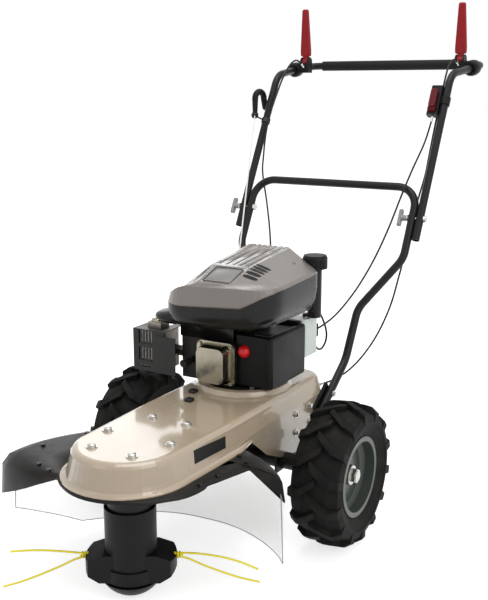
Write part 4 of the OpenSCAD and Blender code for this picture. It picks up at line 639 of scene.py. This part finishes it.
# A vent's black plate, which paints the shade inside the slot: its share of width at its tips, how fast it
# widens, its lift and its depth in lifts
VENT_TIP = 0.45
VENT_TAPER = 2.2
VENT_LIFT = 0.35
VENT_DEPTH = 3
CLAMP_PLACE = (277.7, 1242, 1074.2)
CLAMP_AXIS = (0.089, 0.988, 0.1266)
CLAMP_PROFILE = [(14.6, -19), (18.5, -18), (21, -14), (22, -6), (22, 6), (21, 14), (18.5, 18), (14.6, 19)]
LOBE_PLACE = (-150, 392, 487)
LOBE_RADII = (54, 44, 18)
CAP_HALF = 8.5
CAP_LOW = 325.2
CAP_HIGH = 333
KNOT_START = 88
KNOT_HEIGHT = 80.5
KNOT_LENGTH = 17
KNOT_RADIUS = 5.6
# Share of the knot's radius at its ends
KNOT_NECK = 0.72
KNOT_TURNS = 3
KNOT_STEPS = 72
LEVER_PLACE = (243, 1242, 1096)
LEVER_LEAN = 3
LEVER_HUB_PROFILE = [(4.4, -9), (10, -9), (11, -8), (11, 8), (10, 9), (4.4, 9)]
# Height, width, depth and corner radius of each section of a lever
LEVER_SECTIONS = [
    (6, 17.6, 12.4, 3), (16.8, 17.6, 12.6, 3), (17.6, 27, 13, 4), (20, 31.5, 13.6, 5), (26, 33, 14, 5.5),
    (36, 33, 14, 5.5), (92, 26.8, 11.6, 4.6), (149, 20.4, 9.2, 3.6), (152.4, 18.8, 8.2, 3.2),
    (154.3, 15, 5.8, 2.4), (155, 10, 3, 1.2),
]


def add_side_plate():
    """Bare plate on the deck's side, where the real machine carries its name."""
    plate = patch("deck", PLATE_CORNERS, columns=14, rows=6, lift=0.5)
    finish_piece("side_plate", plate, "black_paint", "chassis")


def add_cover_panel():
    """Bare panel in the recess of the cover's front facet, with a raised rim round it."""
    slope = Matrix.Rotation(math.radians(PANEL_SLOPE), 4, "X")
    place = Matrix.Translation(Vector(PANEL_PLACE) * MM) @ slope
    plate = block(PANEL_LOW, PANEL_HIGH, bevel=0.5, segments=2)
    bmesh.ops.transform(plate, matrix=place, verts=plate.verts)
    finish_piece("cover_panel", plate, "grey_plastic", "chassis", PANEL_GREY)
    outline = [place @ (Vector((x, y, RIM_LIFT)) * MM) for x, y in round_corners(RIM_CORNERS, radius=5)]
    finish_piece("cover_panel_rim", ring_tube(outline, RIM_RADIUS, sides=10), "grey_plastic", "chassis")


def add_curtain_hem():
    """Rolled hem round the free edges of the clear curtain."""
    columns = {}
    for vertex in nodes["curtain"].data.vertices:
        columns.setdefault(round(angle_round_spindle(vertex.co)), []).append(vertex.co.copy())
    angles = sorted(columns)
    bottom = [min(columns[a], key=lambda point: point.z) for a in angles]
    first, last = (max(columns[a], key=lambda point: point.z) for a in (angles[0], angles[-1]))
    path = [first.lerp(bottom[0], k / HEM_STEPS) for k in range(HEM_STEPS)] + bottom
    path += [bottom[-1].lerp(last, k / HEM_STEPS) for k in range(1, HEM_STEPS + 1)]
    finish_piece("curtain_hem", sweep(path, HEM_RADIUS, sides=8), "clear_plastic", "chassis", HEM_CLEAR)


def vent_ring(x, y, t):
    """Section of a vent's plate of painted shade at x, for the vent at y, t being its share of the vent's
    length.
    """
    half = VENT_HALF * min(1, VENT_TIP + VENT_TAPER * min(t, 1 - t))
    fore, normal = drape("engine_cover", x, y - VENT_HALF)
    aft, other = drape("engine_cover", x, y + VENT_HALF)
    middle = (fore + aft) / 2
    along = (aft - fore).normalized() * half * MM
    up = (normal + other).normalized() * VENT_LIFT * MM
    down = up * VENT_DEPTH
    return middle - along + up, middle + along + up, middle + along - down, middle - along - down


def add_vent_shade_plates():
    """Black plates of painted shade in the slots of the cover's shoulders, each a little proud of the ribs
    beside it.
    """
    shares = [k / VENT_STEPS for k in range(VENT_STEPS + 1)]
    for side, side_name in ((-1, "right"), (1, "left")):
        for i in range(VENT_COUNT):
            y = VENT_START + i * VENT_PITCH
            rings = [vent_ring(side * (VENT_INNER + (VENT_OUTER - VENT_INNER) * t), y, t) for t in shares]
            # The black plastic stands in for the shade inside the open slot: painted shade.
            finish_piece(f"vent_shade_plate_{i + 1}_{side_name}", loft(rings), "black_plastic", "chassis")


def add_clamp_shells():
    """Round housings over the lever clamps."""
    for side, side_name in ((1, "left"), (-1, "right")):
        place, axis = mirrored(CLAMP_PLACE, side), mirrored(CLAMP_AXIS, side)
        shell = lathe(place, axis, CLAMP_PROFILE, sides=40, hollow=True)
        finish_piece(f"clamp_shell_{side_name}", shell, "black_plastic", "handle")


def add_turned(name, slot, place, axis, profile, sides=32, hollow=False):
    finish_piece(name, lathe(place, axis, profile, sides, hollow), slot, "chassis")


def add_block(name, slot, low, high, bevel, segments=3):
    finish_piece(name, block(low, high, bevel, segments), slot, "chassis")


def add_shroud_lobe():
    """Small hood at the shroud's far side."""
    lobe = bmesh.new()
    bmesh.ops.create_uvsphere(lobe, u_segments=32, v_segments=20, radius=1)
    bmesh.ops.scale(lobe, vec=Vector(LOBE_RADII) * MM, verts=lobe.verts)
    bmesh.ops.translate(lobe, vec=Vector(LOBE_PLACE) * MM, verts=lobe.verts)
    finish_piece("shroud_lobe", lobe, "black_plastic", "chassis", SHROUD_BLACK)


def add_engine_details():
    """Bushes, caps, latches and plugs round the engine, and the ring that it stands on."""
    bush = [(4.2, -6), (9, -5), (10, -1), (10, 1.5), (8, 3.5), (5.5, 4.5), (3.2, 4.5)]
    pedestal = [
        (93, 325.2), (118, 325.2), (115, 326.5), (112, 330), (111, 334), (109, 336.6), (106, 337.4),
        (93, 337.4),
    ]
    cap = [(4, 0), (17, 0), (18, 1), (18, 3), (16, 6), (11, 8.5), (5, 9.6), (0.6, 9.8)]
    plug = [(9, -1), (12, 0), (12, 7), (10, 9), (4, 9.5)]
    drain = [(5, -2), (6, 0), (6, 6), (9, 6.5), (9, 11), (4, 12)]
    add_turned("rope_bush", "black_plastic", ROPE_START, ROPE_AXIS, bush)
    add_shroud_lobe()
    add_turned("engine_pedestal", "cream_paint", (0, 454, 0), UP, pedestal, sides=72, hollow=True)
    add_turned("muffler_cap", "bright_steel", (-219, 414, 461), UP, cap)
    add_block("box_lid", "black_plastic", (94, 389.5, 341), (113, 562, 465), bevel=8, segments=5)
    add_block("box_latch", "black_plastic", (60, 400, 461), (104, 416, 470), bevel=3)
    add_block("box_hinge", "black_plastic", (40, 540, 461), (104, 556, 472), bevel=4)
    add_block("tank_valve", "black_plastic", (88, 637, 412), (106, 645, 446), bevel=3)
    add_turned("tank_plug", "black_plastic", (96, 601, 470.5), UP, plug)
    add_turned("drain_plug", "zinc", (90, 559, 357), (0, 1, 0), drain, sides=24)


def add_deck_caps():
    """Dark square heads over the two guide bolts, as in the photograph."""
    for name, x, y in (("guide_cap", -37, 275), ("idler_cap", -64, 332)):
        low = (x - CAP_HALF, y - CAP_HALF, CAP_LOW)
        high = (x + CAP_HALF, y + CAP_HALF, CAP_HIGH)
        add_block(name, "dark_steel", low, high, bevel=1.4)


def add_knots():
    """Knots that hold the line in the ends of the line holder: three turns of line round both strands."""
    for i, turn in enumerate((HEAD_TURN, HEAD_TURN + HALF_TURN)):
        spin = Matrix.Rotation(math.radians(turn), 3, "Z")
        run = []
        for k in range(KNOT_STEPS + 1):
            t = k / KNOT_STEPS
            angle = math.tau * KNOT_TURNS * t
            swell = KNOT_RADIUS * (KNOT_NECK + (1 - KNOT_NECK) * math.sin(math.pi * t))
            y, z = math.cos(angle) * swell, KNOT_HEIGHT + math.sin(angle) * swell
            run.append(spin @ (Vector((KNOT_START + KNOT_LENGTH * t, y, z)) * MM))
        finish_piece(f"line_knot_{i + 1}", sweep(run, LINE_RADIUS, sides=10), "line_nylon", "head")


def add_levers():
    """Tapered red levers with rounded edges, on their hubs between the clamp's ears."""
    lean = Matrix.Rotation(math.radians(LEVER_LEAN), 4, "X") @ Matrix.Scale(MM, 4)
    for node, side, body in (("lever_left", 1, "drive_lever"), ("lever_right", -1, "clutch_lever")):
        place = mirrored(LEVER_PLACE, side)
        blade = loft([rounded_ring(width, depth, radius, z) for z, width, depth, radius in LEVER_SECTIONS])
        bmesh.ops.transform(blade, matrix=Matrix.Translation(place * MM) @ lean, verts=blade.verts)
        piece = finish_piece(f"{node}_blade", blade, "red_plastic", body)
        barrel = lathe(place, (1, 0, 0), LEVER_HUB_PROFILE, hollow=True)
        finish_piece(f"{node}_hub", barrel, "red_plastic", body)
        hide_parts(node)


# Floor and light
WHITE = (1, 1, 1, 1)
CENTRE = (0, 0.5, 0.4)
FLOOR_SIZE = 60
FLOOR_COLOR = (0.7, 0.7, 0.7)
FLOOR_GLOW = 0.7
WORLD_LIGHT = 0.62
WORLD_SEEN = 1.0
# Each lamp's name, place, aim, size and power
LAMPS = [
    ("key", (-1.6, -2.2, 3.0), CENTRE, 1.8, 10),
    ("fill", (2.8, -0.6, 2.0), CENTRE, 2.2, 28),
    ("top", (0.2, 0.6, 3.4), CENTRE, 2.0, 45),
    ("back", (-2.4, 3.0, 1.75), (-0.05, 0.05, 0.33), 1.5, 12),
]


def seen_rays(tree):
    """One where a ray comes from the camera, a mirror or clear plastic, nought elsewhere."""
    rays = tree.nodes.new("ShaderNodeLightPath")
    factor = rays.outputs["Is Camera Ray"]
    for kind in ("Is Glossy Ray", "Is Transmission Ray"):
        either = tree.nodes.new("ShaderNodeMath")
        either.operation = "MAXIMUM"
        tree.links.new(factor, either.inputs[0])
        tree.links.new(rays.outputs[kind], either.inputs[1])
        factor = either.outputs["Value"]
    return factor


def add_floor():
    """White floor that takes a soft shadow and glows only where it is looked at."""
    bpy.ops.mesh.primitive_plane_add(size=FLOOR_SIZE, location=(CENTRE[0], CENTRE[1], 0))
    floor = bpy.context.object
    floor.name = "floor"
    material, tree, shader = new_material("floor", FLOOR_COLOR, rough=0.7)
    shader.inputs["Emission Color"].default_value = WHITE
    glow = tree.nodes.new("ShaderNodeMath")
    glow.operation = "MULTIPLY"
    glow.inputs[1].default_value = FLOOR_GLOW
    tree.links.new(seen_rays(tree), glow.inputs[0])
    tree.links.new(glow.outputs["Value"], shader.inputs["Emission Strength"])
    floor.data.materials.append(material)


def add_world():
    """White surroundings, dimmer as a light than as a backdrop."""
    world = bpy.data.worlds.new("studio")
    world.use_nodes = True
    tree = world.node_tree
    sky = tree.nodes["Background"]
    sky.inputs["Color"].default_value = WHITE
    sky.inputs["Strength"].default_value = WORLD_LIGHT
    seen = tree.nodes.new("ShaderNodeBackground")
    seen.inputs["Color"].default_value = WHITE
    seen.inputs["Strength"].default_value = WORLD_SEEN
    mix = tree.nodes.new("ShaderNodeMixShader")
    tree.links.new(seen_rays(tree), mix.inputs["Fac"])
    tree.links.new(sky.outputs["Background"], mix.inputs[1])
    tree.links.new(seen.outputs["Background"], mix.inputs[2])
    tree.links.new(mix.outputs["Shader"], tree.nodes["World Output"].inputs["Surface"])
    scene.world = world


def add_lamps():
    """Soft square lamps, each turned to its aim."""
    for name, place, aim, size, power in LAMPS:
        data = bpy.data.lights.new(name, "AREA")
        data.size = size
        data.energy = power
        light = bpy.data.objects.new(name, data)
        light.location = place
        light.rotation_euler = (Vector(aim) - Vector(place)).to_track_quat("-Z", "Y").to_euler()
        scene.collection.objects.link(light)


# The scene
add_camera()
add_lines()
add_cables()
add_hose()
add_rope()
finish_nodes()
add_smooth_copies()
add_side_plate()
add_cover_panel()
add_curtain_hem()
add_vent_shade_plates()
add_clamp_shells()
add_engine_details()
add_deck_caps()
add_knots()
add_levers()
add_floor()
add_world()
add_lamps()
